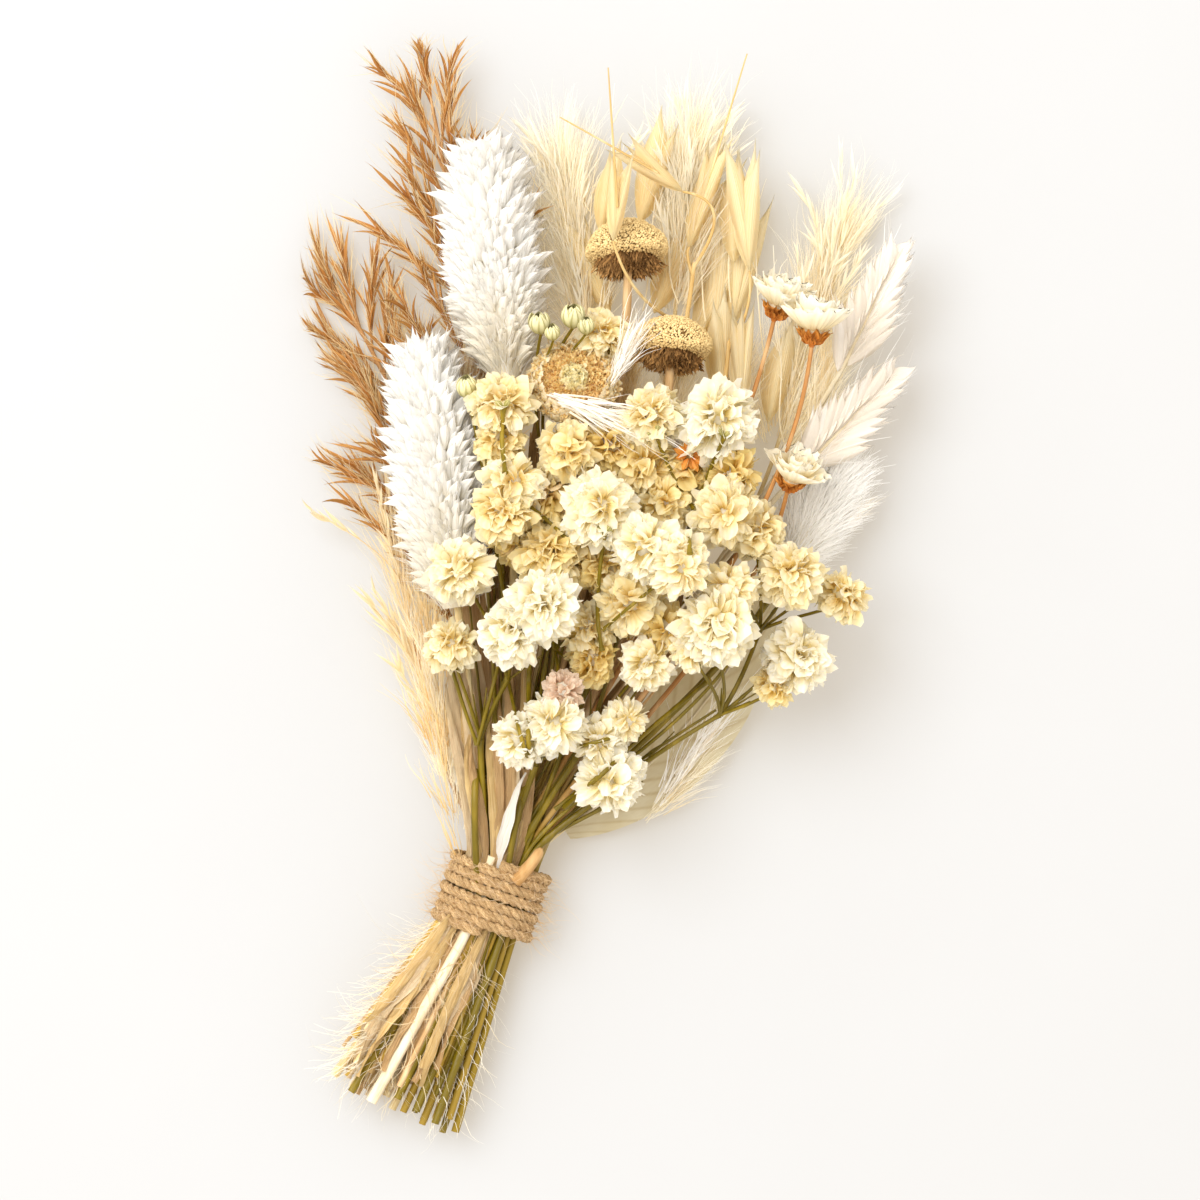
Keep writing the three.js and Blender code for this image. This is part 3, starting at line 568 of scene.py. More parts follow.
def strand_shape(thick, rows=5, bend=0.2, wave=0.0, seed=0):
    """A fine flat hair of unit length along +Y, widest near its foot."""
    phase = np.random.default_rng(seed).uniform(0, 6.28)
    points, tips = [], []
    for i in range(rows + 1):
        t = i / rows
        centre = vec(
            wave * t * math.sin(phase + 6 * t), t, bend * t * t + wave * t * math.cos(phase * 2 + 5 * t)
        )
        half = thick * (0.6 + 0.4 * math.sin(min(1, 0.3 + t) * 2.2)) * (1 - 0.8 * t)
        turn = (phase - 3.14) * 0.3 + 1.2 * t
        for hand in (-1, 1):
            points.append(centre + hand * half * vec(math.cos(turn), 0, math.sin(turn)))
            tips.append(t)
    return points, grid_faces(rows, 1), tips, [-1, 1] * (rows + 1)


def shape_box(shapes):
    """A collection of small source shapes, outside the scene."""
    box = bpy.data.collections.new("shapes")
    for i, (points, faces, tips, across) in enumerate(shapes):
        mesh = mesh_of(f"shape_{i}", points, faces)
        put(mesh, "tip", "FLOAT", tips)
        put(mesh, "across", "FLOAT", across)
        box.objects.link(bpy.data.objects.new(f"shape_{i}", mesh))
    return box


def crowd(name, shapes, finish, at, way, face, size, tone=0.5, hue=0.5, tilt=0.0, seed=1):
    """Many copies of a few small shapes, as one mesh."""
    at = np.asarray(at, float).reshape(-1, 3)
    random = np.random.default_rng(seed)
    mesh = bpy.data.meshes.new(name)
    mesh.vertices.add(len(at))
    mesh.vertices.foreach_set("co", (at * MM).ravel())
    size = np.asarray(size, float)
    size = size if size.ndim and size.shape[-1] == 3 else np.repeat(
        np.broadcast_to(size, len(at))[:, None], 3, 1
    )
    for label, values in (("way", way), ("face", face), ("size", size * MM)):
        put(mesh, label, "FLOAT_VECTOR", values)
    put(mesh, "tone", "FLOAT", tone)
    put(mesh, "hue", "FLOAT", hue)
    put(mesh, "pick", "INT", random.integers(0, len(shapes), len(at)))
    box = shape_box(shapes)
    inputs = {"Shapes": box, "Size": 1.0, "Tilt": tilt, "Seed": seed, "Material": finish}
    made = settle(put_object(name, mesh), crowd_tree, inputs)
    for one in list(box.objects):
        bpy.data.meshes.remove(one.data)
    bpy.data.collections.remove(box)
    return made


def tubes(name, lines, radii, finish, sides=8, tones=None):
    """Round tubes along lines of points, as one mesh. radii holds a number or a list for each line."""
    points, edges, start = np.concatenate(lines), [], 0
    tips, alongs, thick, tone = [], [], [], []
    for i, line in enumerate(lines):
        run = lengths(line)
        edges += [(start + k, start + k + 1) for k in range(len(line) - 1)]
        start += len(line)
        tips.append(run / run[-1])
        alongs.append(run)
        thick.append(np.broadcast_to(radii[i], len(line)))
        tone.append(np.full(len(line), 0.5 if tones is None else tones[i]))
    mesh = mesh_of(name, points * MM, edges=edges)
    for label, values in (("tip", tips), ("along", alongs), ("tone", tone)):
        put(mesh, label, "FLOAT", np.concatenate(values))
    put(mesh, "radius", "FLOAT", np.concatenate(thick) * MM)
    return settle(put_object(name, mesh), tube_tree, {"Sides": sides, "Thickness": 1.0, "Material": finish})


def ribbon(name, line, half, finish, columns=8, cup=0.15, twist=0.0, facing=UP, ripple=0.0, tone=0.5, seed=0):
    """A blade along a line. half gives half its width, twist how far it turns over its length."""
    random = np.random.default_rng(seed)
    ways, run = tangents(line), lengths(line)
    t = run / run[-1]
    side = unit(np.cross(ways, facing))
    up = np.cross(side, ways)
    turn = (twist * t)[:, None]
    side, up = side * np.cos(turn) + up * np.sin(turn), up * np.cos(turn) - side * np.sin(turn)
    wide = np.array([half(s) for s in t])
    u = np.linspace(-1, 1, columns + 1)
    phase = random.uniform(0, 6.28, 3)
    height = -cup * wide[:, None] * u**2 + ripple * np.sin(
        run[:, None] * 0.35 + phase[0] + u * 2.2
    ) * np.abs(u)
    height += 0.4 * ripple * np.sin(run[:, None] * 1.1 + phase[1] - u * 3)
    points = line[:, None] + side[:, None] * (wide[:, None] * u)[..., None] + up[:, None] * height[..., None]
    mesh = mesh_of(name, points.reshape(-1, 3) * MM, grid_faces(len(line) - 1, columns))
    put(mesh, "tip", "FLOAT", np.repeat(t, columns + 1))
    put(mesh, "along", "FLOAT", np.repeat(run, columns + 1))
    put(mesh, "across", "FLOAT", np.tile(u, len(line)))
    put(mesh, "tone", "FLOAT", tone)
    mesh.materials.append(finish)
    mesh.shade_smooth()
    return put_object(name, mesh)


def hold(mesh):
    """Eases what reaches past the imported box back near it, and what dips below the surface up onto it."""
    spots = np.zeros(len(mesh.vertices) * 3)
    mesh.vertices.foreach_get("co", spots)
    spots = spots.reshape(-1, 3)
    low, high = (np.array([float(v) for v in corner]) for corner in CAD_BOX)
    slack = (high - low) * SLACK
    for axis in range(3):
        for hand, edge in ((-1, low[axis] - slack[axis]), (1, high[axis] + slack[axis])):
            if axis == 2 and hand < 0:
                edge = LOWEST
            room = (LOW_ROOM if hand < 0 else TOP_ROOM) if axis == 2 else SIDE_ROOM
            past = hand * (spots[:, axis] - edge) + room
            eased = room * (1 - np.exp(-np.maximum(past, 0) / room))
            spots[:, axis] = np.where(past > 0, edge + hand * (eased - room), spots[:, axis])
    mesh.vertices.foreach_set("co", spots.ravel())
    mesh.update()


def joined(parts):
    """One object from several, in the first of them."""
    first = parts[0]
    if len(parts) > 1:
        with bpy.context.temp_override(active_object=first, object=first, selected_editable_objects=parts):
            bpy.ops.object.join()
    return first


def keep(name, parts, loose=False):
    """Makes one physical piece. It stands for the node of its own name, unless it is loose matter."""
    piece = joined(parts)
    piece.name = piece.data.name = "dried_" + name
    hold(piece.data)
    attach(piece, "root")
    if not loose:
        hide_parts(name)


# ---------------------------------------------------------------- finishes
def hair_finish(name, root, tip, rough=0.6, through=0.4):
    """Fine hairs: darker near the root, and each a little different."""
    f = Finish(name)
    colour = f.tint(f.tip ** 0.7, root, tip)
    colour = f.shaded(colour, (0.96, 0.85, 0.66), (1.0, 1.0, 1.0), f.tone.between(0.0, 0.5))
    return f.close(colour, rough, through=through, gloss=0.2)


def husk_finish(name, body, edge, vein, ribs=9.0, depth=0.12, through=0.35, gloss=0.3):
    """A papery husk or blade with fine ribs along it."""
    f = Finish(name)
    lines = f.ribs(ribs * 3.1416, 9.0)
    cloud = f.noise(f.place(), 0.35, 3.0)
    colour = f.tint(f.tip ** 1.3, body, edge)
    colour = f.tint(lines * 0.35 + cloud * 0.35 - 0.12, colour, vein)
    colour = f.shaded(colour, (0.9, 0.84, 0.74), (1.03, 1.02, 1.0))
    return f.close(colour, 0.5 + cloud * 0.2, f.bump(lines, depth), through, gloss)


def stem_finish(name, body, streak, patch, around=1.6, gloss=0.35, rough=0.45, foot=None):
    """A dry stem with long streaks and a few patches. foot is its colour towards its cut end."""
    f = Finish(name)
    fibres = f.noise(f.streaks(around, 0.12), 1.6, 3.0, 0.65)
    clouds = f.noise(f.place((0.5, 0.12, 0.5)), 0.6, 2.0)
    colour = f.tint(fibres.between(0.35, 0.68), body, streak)
    colour = f.tint(clouds.between(0.52, 0.72), colour, patch)
    if foot:
        colour = f.tint(f.tip.between(0.3, 0.5), foot, colour)
    colour = f.shaded(colour, (0.72, 0.7, 0.66), (1.1, 1.08, 1.05))
    return f.close(colour, rough + fibres * 0.25, f.bump(fibres, 0.12), gloss=gloss)


def glume_finish(name):
    """White, chalky scales with faint ribs, and a warm foot that is partly painted warm shade between the
    scales.
    """
    f = Finish(name)
    ribs = f.ribs(14.0)
    # The warm foot of each scale is partly the scale's own cream and partly painted warm shade where the
    # scales overlap.
    colour = f.tint(f.tip.between(0.0, 0.42), (0.985, 0.92, 0.76), "canary")
    colour = f.tint(ribs * 0.1, colour, (0.9, 0.87, 0.8))
    colour = f.tint((1 - f.mark("hue").between(0.0, 0.4)) * 0.6, colour, (0.93, 0.84, 0.63))
    return f.close(f.shaded(colour, (0.93, 0.91, 0.88), (1.0, 1.0, 1.0)), 0.6, f.bump(ribs, 0.06), 0.32, 0.25)


def petal_finish(name):
    """Crinkled petals. hue runs from white over cream and gold to a faded pink; the gold is painted shade for
    the blooms that lie deep in the bunch.
    """
    f = Finish(name)
    hue = f.mark("hue")
    cloud = f.noise(f.place(), 0.9, 3.0)
    # The inner colours, at the feet of the petals, are partly the blooms' own gold and partly painted shade
    # deep in each bloom.
    inner = f.ramp(
        hue, (0.0, (0.93, 0.8, 0.36)), (0.45, "petal_heart"), (0.8, (0.8, 0.54, 0.08)),
        (1.0, (0.67, 0.43, 0.27)),
    )
    outer = f.ramp(
        hue, (0.0, (0.985, 0.965, 0.89)), (0.45, "petal"), (0.8, (0.955, 0.81, 0.38)),
        (1.0, (0.88, 0.73, 0.58)),
    )
    colour = f.tint(f.tip * 1.5 + cloud * 0.5 - 0.42, inner, outer)
    crease = f.ribs(11.0, 6.0)
    colour = f.tint(crease * 0.2, colour, inner)
    return f.close(colour, 0.62, f.bump(crease * 0.6 + cloud * 0.6, 0.1), 0.45, 0.22)


def green_finish(name, foot, edge):
    """Sepals and buds: olive, paler towards the edge."""
    f = Finish(name)
    ribs = f.ribs(9.0)
    colour = f.tint(f.tip ** 0.8, foot, edge)
    colour = f.tint(ribs ** 4.0 * 0.7, colour, (0.24, 0.2, 0.02))
    return f.close(f.shaded(colour, (0.8, 0.8, 0.75), (1.1, 1.1, 1.0)), 0.55, f.bump(ribs, 0.08), 0.15, 0.3)


def seed_finish(name):
    """The stubble of a seed head: cream tips on darker feet, with a few bare brown spots."""
    f = Finish(name)
    cloud = f.noise(f.place(), 0.5, 3.0)
    colour = f.tint(f.tip ** 0.8, (0.36, 0.2, 0.06), "seed")
    colour = f.tint(cloud.between(0.55, 0.75) * 0.5, colour, (0.62, 0.46, 0.2))
    return f.close(f.shaded(colour, (0.5, 0.36, 0.2), (1.03, 1.0, 0.96), f.tone**0.5), 0.8, gloss=0.15)


def fringe_finish(name):
    """Dark brown ragged scales below a seed head."""
    f = Finish(name)
    colour = f.tint(f.tip, (0.1, 0.045, 0.012), (0.4, 0.23, 0.085))
    return f.close(f.shaded(colour, (0.5, 0.45, 0.4), (1.5, 1.4, 1.3)), 0.8, through=0.1, gloss=0.15)


def button_finish(name):
    """Close bracts of a flat button: cream, with rusty speckles between a pale rim and a yellow middle."""
    f = Finish(name)
    hue = f.mark("hue")
    pits = f.pits(f.place(), 1.5)
    cloud = f.noise(f.place(), 1.1, 3.0, 0.7)
    base = f.ramp(
        hue, (0.0, (0.99, 0.94, 0.7)), (0.3, (0.99, 0.87, 0.48)), (0.6, (0.98, 0.85, 0.47)),
        (1.0, (0.97, 0.9, 0.7)),
    )
    band = hue.between(0.22, 0.32) * (1 - hue.between(0.9, 1.0))
    rust = f.tint(cloud, (0.76, 0.38, 0.08), (0.96, 0.68, 0.24))
    colour = f.tint((1 - f.tip.between(0.1, 0.7)) * (band * 0.34 + 0.05), base, rust)
    colour = f.tint((cloud + pits * 0.5).between(0.7, 0.84) * band * 0.5, colour, rust)
    return f.close(colour, 0.7, f.bump(pits, 0.15), 0.45, 0.2)


def daisy_finish(name):
    """Papery white petals with fine veins, warm at the foot."""
    f = Finish(name)
    ribs = f.ribs(16.0, 5.0)
    colour = f.tint(f.tip.between(0.0, 0.85), (0.95, 0.8, 0.42), "daisy")
    colour = f.tint(ribs * 0.16, colour, (0.84, 0.76, 0.58))
    return f.close(colour, 0.5, f.bump(ribs, 0.08), 0.35, 0.35)


def calyx_finish(name):
    """Rusty orange bracts below a daisy."""
    f = Finish(name)
    ribs = f.ribs(10.0, 4.0)
    colour = f.tint(f.tip, (0.55, 0.17, 0.02), "calyx")
    return f.close(f.shaded(colour, (0.65, 0.6, 0.55), (1.15, 1.1, 1.05)), 0.5, f.bump(ribs, 0.1), 0.15, 0.35)


def leaf_finish(name):
    """The pale leaf: thin, with a fine net of veins that fans from its middle rib."""
    f = Finish(name)
    across, run = f.mark("across"), f.mark("along")
    side = (across.size() * 16.0 - run * 1.1).sine() * 0.5 + 0.5
    fine = f.noise(f.add("ShaderNodeCombineXYZ", {}, {0: across * 14.0, 1: run * 0.25}), 1.4, 3.0)
    rib = 1 - across.size().between(0.0, 0.06)
    cloud = f.noise(f.place(), 0.12, 3.0)
    colour = f.tint(cloud.between(0.35, 0.65), (0.74, 0.66, 0.45), "leaf")
    colour = f.tint(side ** 6 * 0.45 + fine * 0.35 + rib * 0.7, colour, (0.58, 0.46, 0.24))
    return f.close(colour, 0.55, f.bump(side * 0.4 + fine * 0.5 + rib, 0.25), 0.5, 0.3)


def blade_finish(name, body, light, dark):
    """A fibrous straw blade with long streaks."""
    f = Finish(name)
    lane = f.add(
        "ShaderNodeCombineXYZ", {}, {0: f.mark("across") * 7.0 + f.tone * 31.0, 1: f.mark("along") * 0.05}
    )
    fibres = f.noise(lane, 1.8, 4.0, 0.7)
    cloud = f.noise(f.place(), 0.15, 2.0)
    colour = f.tint(fibres.between(0.3, 0.7), dark, light)
    colour = f.tint(cloud.between(0.3, 0.7) * 0.35, colour, body)
    return f.close(colour, 0.5, f.bump(fibres, 0.4), 0.2, 0.35)


def jute_finish(name):
    """Jute: warm tan plies of fine slanting fibres."""
    f = Finish(name)
    fibres = f.noise(f.streaks(2.6, 0.7), 2.2, 4.0, 0.7)
    clouds = f.noise(f.place(), 0.35, 2.0)
    colour = f.tint(fibres.between(0.38, 0.6), (0.36, 0.17, 0.048), "twine")
    colour = f.tint(clouds.between(0.4, 0.7) * 0.25, colour, (0.76, 0.54, 0.3))
    return f.close(
        f.shaded(colour, (0.68, 0.62, 0.54), (1.08, 1.05, 1.0)), 0.8, f.bump(fibres, 0.45), gloss=0.15
    )


# Finishes: what makes each, its material's name, its colours and its numbers. A word instead of a colour is
# one of the panel's colours.
FINISH_TABLE = {
    "glume": (glume_finish, "bleached glume"), "petal": (petal_finish, "dried petal"),
    "green": (green_finish, "dry green sepal", (0.26, 0.23, 0.03), (0.72, 0.66, 0.33)),
    "bud": (green_finish, "striped bud", (0.24, 0.2, 0.015), (0.95, 0.89, 0.58)),
    "seed": (seed_finish, "seed stubble"), "fringe": (fringe_finish, "brown fringe"),
    "button": (button_finish, "button bract"), "daisy": (daisy_finish, "daisy petal"),
    "calyx": (calyx_finish, "rusty calyx"), "leaf": (leaf_finish, "pale leaf"),
    "jute": (jute_finish, "jute twine"),
    "white_hair": (hair_finish, "white hair", (0.985, 0.965, 0.92), "tail"),
    "plume_hair": (hair_finish, "plume hair", (0.985, 0.89, 0.65), "plume"),
    "pale_hair": (hair_finish, "pale plume hair", (0.985, 0.91, 0.71), (0.995, 0.97, 0.88)),
    "tan_hair": (hair_finish, "tan hair", (0.87, 0.67, 0.35), "tan_plume"),
    "reed_hair": (hair_finish, "reed hair", (0.8, 0.56, 0.24), (0.96, 0.84, 0.55)),
    "jute_hair": (hair_finish, "jute fuzz", (0.62, 0.42, 0.22), (0.85, 0.68, 0.46)),
    "reed": (
        husk_finish, "reed spikelet", (0.48, 0.18, 0.03), "reed", (0.34, 0.11, 0.015), 2.0, 0.1, 0.2, 0.45
    ), "oat": (husk_finish, "oat husk", "oat", (0.995, 0.95, 0.75), (0.94, 0.69, 0.24), 13.0, 0.07, 0.45),
    "pale_husk": (
        husk_finish, "pale husk", (0.99, 0.9, 0.6), (0.995, 0.965, 0.82), (0.96, 0.78, 0.38), 13.0, 0.07, 0.45
    ),
    "ear": (
        husk_finish, "bleached husk", (0.95, 0.92, 0.87), "ear", (0.88, 0.83, 0.77), 4.0, 0.08, 0.45, 0.5
    ), "straw_stem": (stem_finish, "straw stem", (0.8, 0.66, 0.36), (0.64, 0.46, 0.2), (0.88, 0.8, 0.55)),
    "awn": (stem_finish, "oat awn", (0.74, 0.53, 0.22), (0.58, 0.36, 0.12), (0.82, 0.66, 0.36)),
    "tan_stem": (
        stem_finish, "tan stem", (0.66, 0.44, 0.21), (0.44, 0.25, 0.1), (0.78, 0.6, 0.36),
        {"foot": (0.5, 0.33, 0.06)},
    ),
    "olive_stem": (
        stem_finish, "olive stem", (0.14, 0.1, 0.002), "olive", (0.3, 0.21, 0.015),
        {"gloss": 0.3, "rough": 0.18},
    ),
    "yellow_stem": (
        stem_finish, "yellow stem", (0.62, 0.4, 0.05), (0.46, 0.28, 0.03), (0.7, 0.52, 0.14), {"gloss": 0.45}
    ),
    "orange_stem": (
        stem_finish, "orange stem", (0.55, 0.27, 0.08), (0.4, 0.16, 0.04), (0.66, 0.42, 0.2),
        {"foot": (0.34, 0.22, 0.02)},
    ), "white_stem": (stem_finish, "white stem", (0.78, 0.7, 0.51), (0.66, 0.54, 0.34), (0.83, 0.76, 0.6)),
    "ear_stem": (
        stem_finish, "ear stem", (0.78, 0.7, 0.51), (0.66, 0.54, 0.34), (0.83, 0.76, 0.6),
        {"foot": (0.3, 0.2, 0.01)},
    ), "reed_stem": (stem_finish, "reed stem", (0.52, 0.28, 0.1), (0.36, 0.17, 0.06), (0.66, 0.42, 0.2)),
    "twine_peg": (
        stem_finish, "twine end", (0.56, 0.33, 0.13), (0.4, 0.21, 0.07), (0.66, 0.43, 0.2), 3.0, 0.15
    ), "tan_blade": (blade_finish, "tan blade", (0.68, 0.4, 0.15), (0.88, 0.64, 0.33), (0.32, 0.13, 0.03)),
    "straw_blade": (blade_finish, "straw blade", (0.87, 0.66, 0.34), "straw", (0.56, 0.31, 0.1)),
    "gold_blade": (blade_finish, "golden blade", (0.9, 0.6, 0.2), (0.97, 0.79, 0.43), (0.55, 0.27, 0.05)),
    # Dark brown blades for the deep gaps below the flowers: painted shade.
    "brown_blade": (blade_finish, "brown blade", (0.4, 0.23, 0.08), (0.58, 0.37, 0.15), (0.17, 0.08, 0.02)),
    "white_blade": (blade_finish, "white blade", (0.96, 0.93, 0.86), (0.98, 0.97, 0.93), (0.84, 0.74, 0.57)),
}
FINISHES = {}


def finish(name):
    """One material of the bunch, made when it is first asked for."""
    if name not in FINISHES:
        maker, *values = FINISH_TABLE[name]
        options = values.pop() if values and isinstance(values[-1], dict) else {}
        FINISHES[name] = maker(*values, **options)
    return FINISHES[name]


# ---------------------------------------------------------------- small shapes
def spindle(share, widest=0.4, sharp=1.2):
    """Half the width of a pointed scale, from 0 to 1."""
    t = share / widest if share < widest else (1 - share) / (1 - widest)
    return math.sin(t * 1.5708) ** (0.8 if share < widest else sharp)


def glume_shapes():
    """Pointed scales of canary grass."""
    return [
        sheet_shape(lambda t: 0.155 * spindle(t, 0.36, 1.25), 6, 4, 0.8, bend, seed=k)
        for k, bend in enumerate((-0.15, 0.1, 0.3, 0.5))
    ]


def spikelet_shapes():
    """Slender spikelets of a reed."""
    return [
        sheet_shape(lambda t: 0.03 * spindle(t, 0.3, 0.8), 7, 2, 1.0, bend, seed=k)
        for k, bend in enumerate((-0.45, -0.15, 0.2, 0.6))
    ]


def petal_shapes():
    """Crinkled petals of a bloom."""
    def outline(t):
        return 0.1 + 0.29 * math.sin(min(1, t * 1.1) * 1.5708) ** 1.3 * (
            1 if t < 0.75 else 1 - 0.3 * ((t - 0.75) / 0.25) ** 2
        )

    return [
        sheet_shape(outline, 5, 6, arch, bend, 0.11, waves, 0.05, k, 0.26)
        for k, (arch, bend, waves) in enumerate(
            ((0.25, 1.2, 1.0), (-0.15, 0.9, 1.3), (0.35, 1.6, 0.9), (-0.1, 0.6, 1.5), (0.4, 1.9, 1.1))
        )
    ]


def broad_petal_shapes():
    """Papery petals of a daisy."""
    def outline(t):
        return 0.09 + 0.2 * math.sin(min(1, t * 1.2) * 1.5708) * (
            1 if t < 0.75 else 1 - 0.8 * ((t - 0.75) / 0.25) ** 2
        )

    return [
        sheet_shape(outline, 8, 6, -0.35, bend, 0.02, 1.3, 0.06, seed=k)
        for k, bend in enumerate((0.3, 0.55, 0.75))
    ]


def husk_shapes(width=0.14, arch=0.9, bends=(-0.12, 0.05, 0.2)):
    return [
        sheet_shape(lambda t: width * spindle(t, 0.4, 0.95), 12, 8, arch, bend, 0.01, 0.8, seed=k)
        for k, bend in enumerate(bends)
    ]


def hair_shapes(thick, bends=(0.05, 0.15, 0.28, -0.08), wave=0.02, rows=4):
    return [strand_shape(thick * 1.35, rows + 1, bend, wave, seed=k) for k, bend in enumerate(bends)]


def ball_points(count):
    """Directions spread evenly over a ball."""
    k = np.arange(count) + 0.5
    polar, turn = np.arccos(1 - 2 * k / count), k * GOLDEN
    return np.stack([np.cos(turn) * np.sin(polar), np.sin(turn) * np.sin(polar), np.cos(polar)], 1)


def turned(points, way):
    """Directions around +Z, turned to stand around another way."""
    side, face = sides_of(unit(way), UP if abs(unit(way)[2]) < 0.98 else vec(0, 1, 0))
    return points[:, :1] * side + points[:, 1:2] * face + points[:, 2:] * unit(way)


def around(way, turn):
    """Directions square to a way, at angles round it."""
    turn = np.atleast_1d(turn)
    return turned(np.stack([np.cos(turn), np.sin(turn), np.zeros(len(turn))], 1), way)


# ---------------------------------------------------------------- tables of the bunch
HEAD_STEMS = {
    "canary_low": ((-3, 0), vec(-6.4, 58, 18.5), vec(-14, 112, 19), None, 0.9, "straw_stem"),
    "canary_high": ((-2, 0), vec(3.4, 104, 16), vec(-2, 152, 18), None, 0.9, "straw_stem"),
    "button": ((-1, 0), vec(16.5, 101, 19.5), vec(16.9, 105, 29), vec(0.05, 1, 0.4), 0.85, "straw_stem"),
    "dome_high": ((0, 0), vec(27.6, 126, 19), vec(27, 138, 16), vec(0, 1, 0.15), 1.0, "tan_stem"),
    "dome_low": ((2, 0), vec(36, 107, 20), vec(37.2, 119, 17.4), vec(0, 1, 0.16), 1.0, "tan_stem"),
    "bunny": ((2.5, -1), vec(59, 65, 9.5), vec(72, 90, 9.5), None, 0.75, "olive_stem"),
}
FORKS = {
    "left_low": ((-2, 2), vec(-2, 32, 17.5)),
    "left_mid": ("left_low", vec(3.6, 44, 22)),
    "left_high": ("left_mid", vec(1, 72, 24.5)),
    "centre_low": ((0, 2), vec(9, 27, 19)),
    "centre_mid": ("centre_low", vec(13, 50, 23.5)),
    "centre_high": ("centre_mid", vec(18, 72, 26)),
    "inner_low": ((1, 2), vec(20, 33, 16.5)),
    "inner_mid": ("inner_low", vec(28, 64, 19)),
    "inner_high": ("inner_mid", vec(39, 80, 21)),
    "right_low": ((2, 2), vec(30.6, 27, 15.2)),
    "right_mid": ("right_low", vec(46, 37, 19)),
    "right_high": ("right_mid", vec(54, 54, 20)),
}
# Blooms: fork, middle, radius, and hue: white 0, cream 0.45, gold 0.8, faded pink 1. The last eight fill the
# middle of the bunch, and their gold is painted shade for their depth.
BLOOMS = [
    ("left_high", 2.4, 98.4, 30, 5.5, 0.35), ("left_high", 2.2, 91.4, 29.4, 4.4, 0.5),
    ("left_high", 5, 83, 33, 5.2, 0.25), ("left_high", 3, 77, 34, 5.2, 0.4),
    ("left_mid", -5.6, 66, 34.5, 5.6, 0.15), ("left_low", -7.6, 51, 27, 4.6, 0.3),
    ("left_mid", 4.2, 53.4, 36, 5.5, 0.0), ("centre_low", 6, 32.4, 31, 4.8, 0.02),
    ("centre_low", 13, 35.6, 32, 5.3, 0.05), ("centre_mid", 14.6, 42.2, 33.4, 3.5, 1.0),
    ("centre_mid", 10.6, 59, 38.5, 6.2, 0.0), ("centre_mid", 12.6, 68.6, 30, 6.4, 0.5),
    ("centre_mid", 19.4, 54.6, 27.5, 4.8, 0.4), ("centre_high", 15.6, 89.6, 30, 5.4, 0.45),
    ("centre_high", 22, 78, 38, 6.4, 0.15), ("centre_high", 22.6, 113, 22.4, 4.6, 0.35),
    ("inner_mid", 28, 60, 29.5, 6.2, 0.4), ("inner_low", 31.4, 47.6, 30, 4.4, 0.1),
    ("inner_mid", 31, 70.4, 40, 5.5, 0.12), ("inner_mid", 38, 67, 41.5, 5.5, 0.22),
    ("inner_high", 31, 86.4, 27, 5.8, 0.5), ("inner_high", 34.6, 79, 28.5, 5.2, 0.45),
    ("inner_high", 32.4, 96.6, 32, 5.4, 0.25), ("inner_high", 45, 95.4, 31.5, 6.8, 0.02),
    ("inner_high", 47, 77, 31, 6.2, 0.3), ("inner_low", 22, 32, 28, 4.8, 0.05),
    ("inner_low", 27, 35.8, 27, 3.8, 0.2), ("right_low", 24, 24.4, 27.4, 5.6, 0.0),
    ("right_high", 53, 73.6, 27.5, 5.2, 0.35), ("right_high", 60, 65, 29.5, 5.8, 0.3),
    ("right_high", 47.4, 62, 34.5, 5.2, 0.3), ("right_high", 70.4, 61, 23.5, 4.7, 0.35),
    ("right_mid", 45, 55, 37.5, 6.8, 0.12), ("right_mid", 40.4, 50, 34, 3.6, 0.2),
    ("right_mid", 61, 49, 27, 6, 0.08), ("right_mid", 56.6, 43, 25, 3.6, 0.5),
    ("centre_high", 11, 79.6, 27.5, 5.4, 0.8), ("left_high", 5.6, 72, 27.5, 5, 0.78),
    ("centre_mid", 20.4, 48.4, 26, 4.6, 0.7), ("centre_high", 22, 67.4, 28.5, 5.8, 0.75),
    ("inner_mid", 34.6, 54, 27, 4.8, 0.7), ("inner_high", 39.6, 86.4, 26, 5.6, 0.8),
    ("inner_high", 24, 90, 27, 5, 0.75), ("inner_high", 47.8, 85, 27.6, 5.2, 0.7),
]
BLOOM_SIZE = 1.06
# The blooms that make up each packed bloom node.
CLUSTERS = [
    [0, 1], [2, 3, 36], [4], [5], [6, 10], [7, 8, 9], [11, 37, 39, 16], [12, 38], [13, 42, 20, 21, 41], [14],
    [15], [17, 40], [18, 19], [22], [23], [24, 28, 43], [25, 26, 27], [29], [30, 32, 33], [31], [34], [35],
]
BUDS = [
    ("left_high", -4.4, 102, 28, 2.2), ("centre_high", 10, 114.6, 29, 2.2),
    ("centre_high", 16.6, 116, 28, 2.4),
]
DAISIES = {
    "high": ((0.5, 1), vec(57.5, 118.4, 24), vec(0.3, 0.9, 0.22), 7.0, None),
    "front": ((1.5, 1), vec(64.2, 113, 32), vec(0.12, 0.96, 0.16), 7.6, None),
    "low": ((2.5, 1), vec(60, 84, 29), vec(0.3, 0.8, 0.5), 6.4, vec(0.12, 1, 0.9)),
}
REEDS = {
    "reed_left": ((-2, -2), vec(-31, 122, 1.5), vec(-0.55, 0.83, 0), 0.6, 0.9, 3),
    "reed_top": ((-1, -2), vec(-12, 160, 5.7), vec(-0.2, 1, 0), 0.58, 0.75, 4),
}
PLUMES = {
    "tan_plume": ((-2.5, -1), vec(-9, 26, 6), vec(-26, 92, 4.8), 3.4, vec(-0.15, 1, 0), "tan_hair"),
    "top_plume": ((0, -2), vec(20, 108, 5.4), vec(13, 162, 6.6), 5.6, None, "pale_hair"),
    "middle_plume": ((-0.5, -1), vec(37, 116, 6), vec(42, 164, 7.4), 4.6, None, "pale_hair"),
    "right_plume": ((1, -2), vec(57, 88, 4.5), vec(76, 150, 5), 6.6, None, "plume_hair"),
}
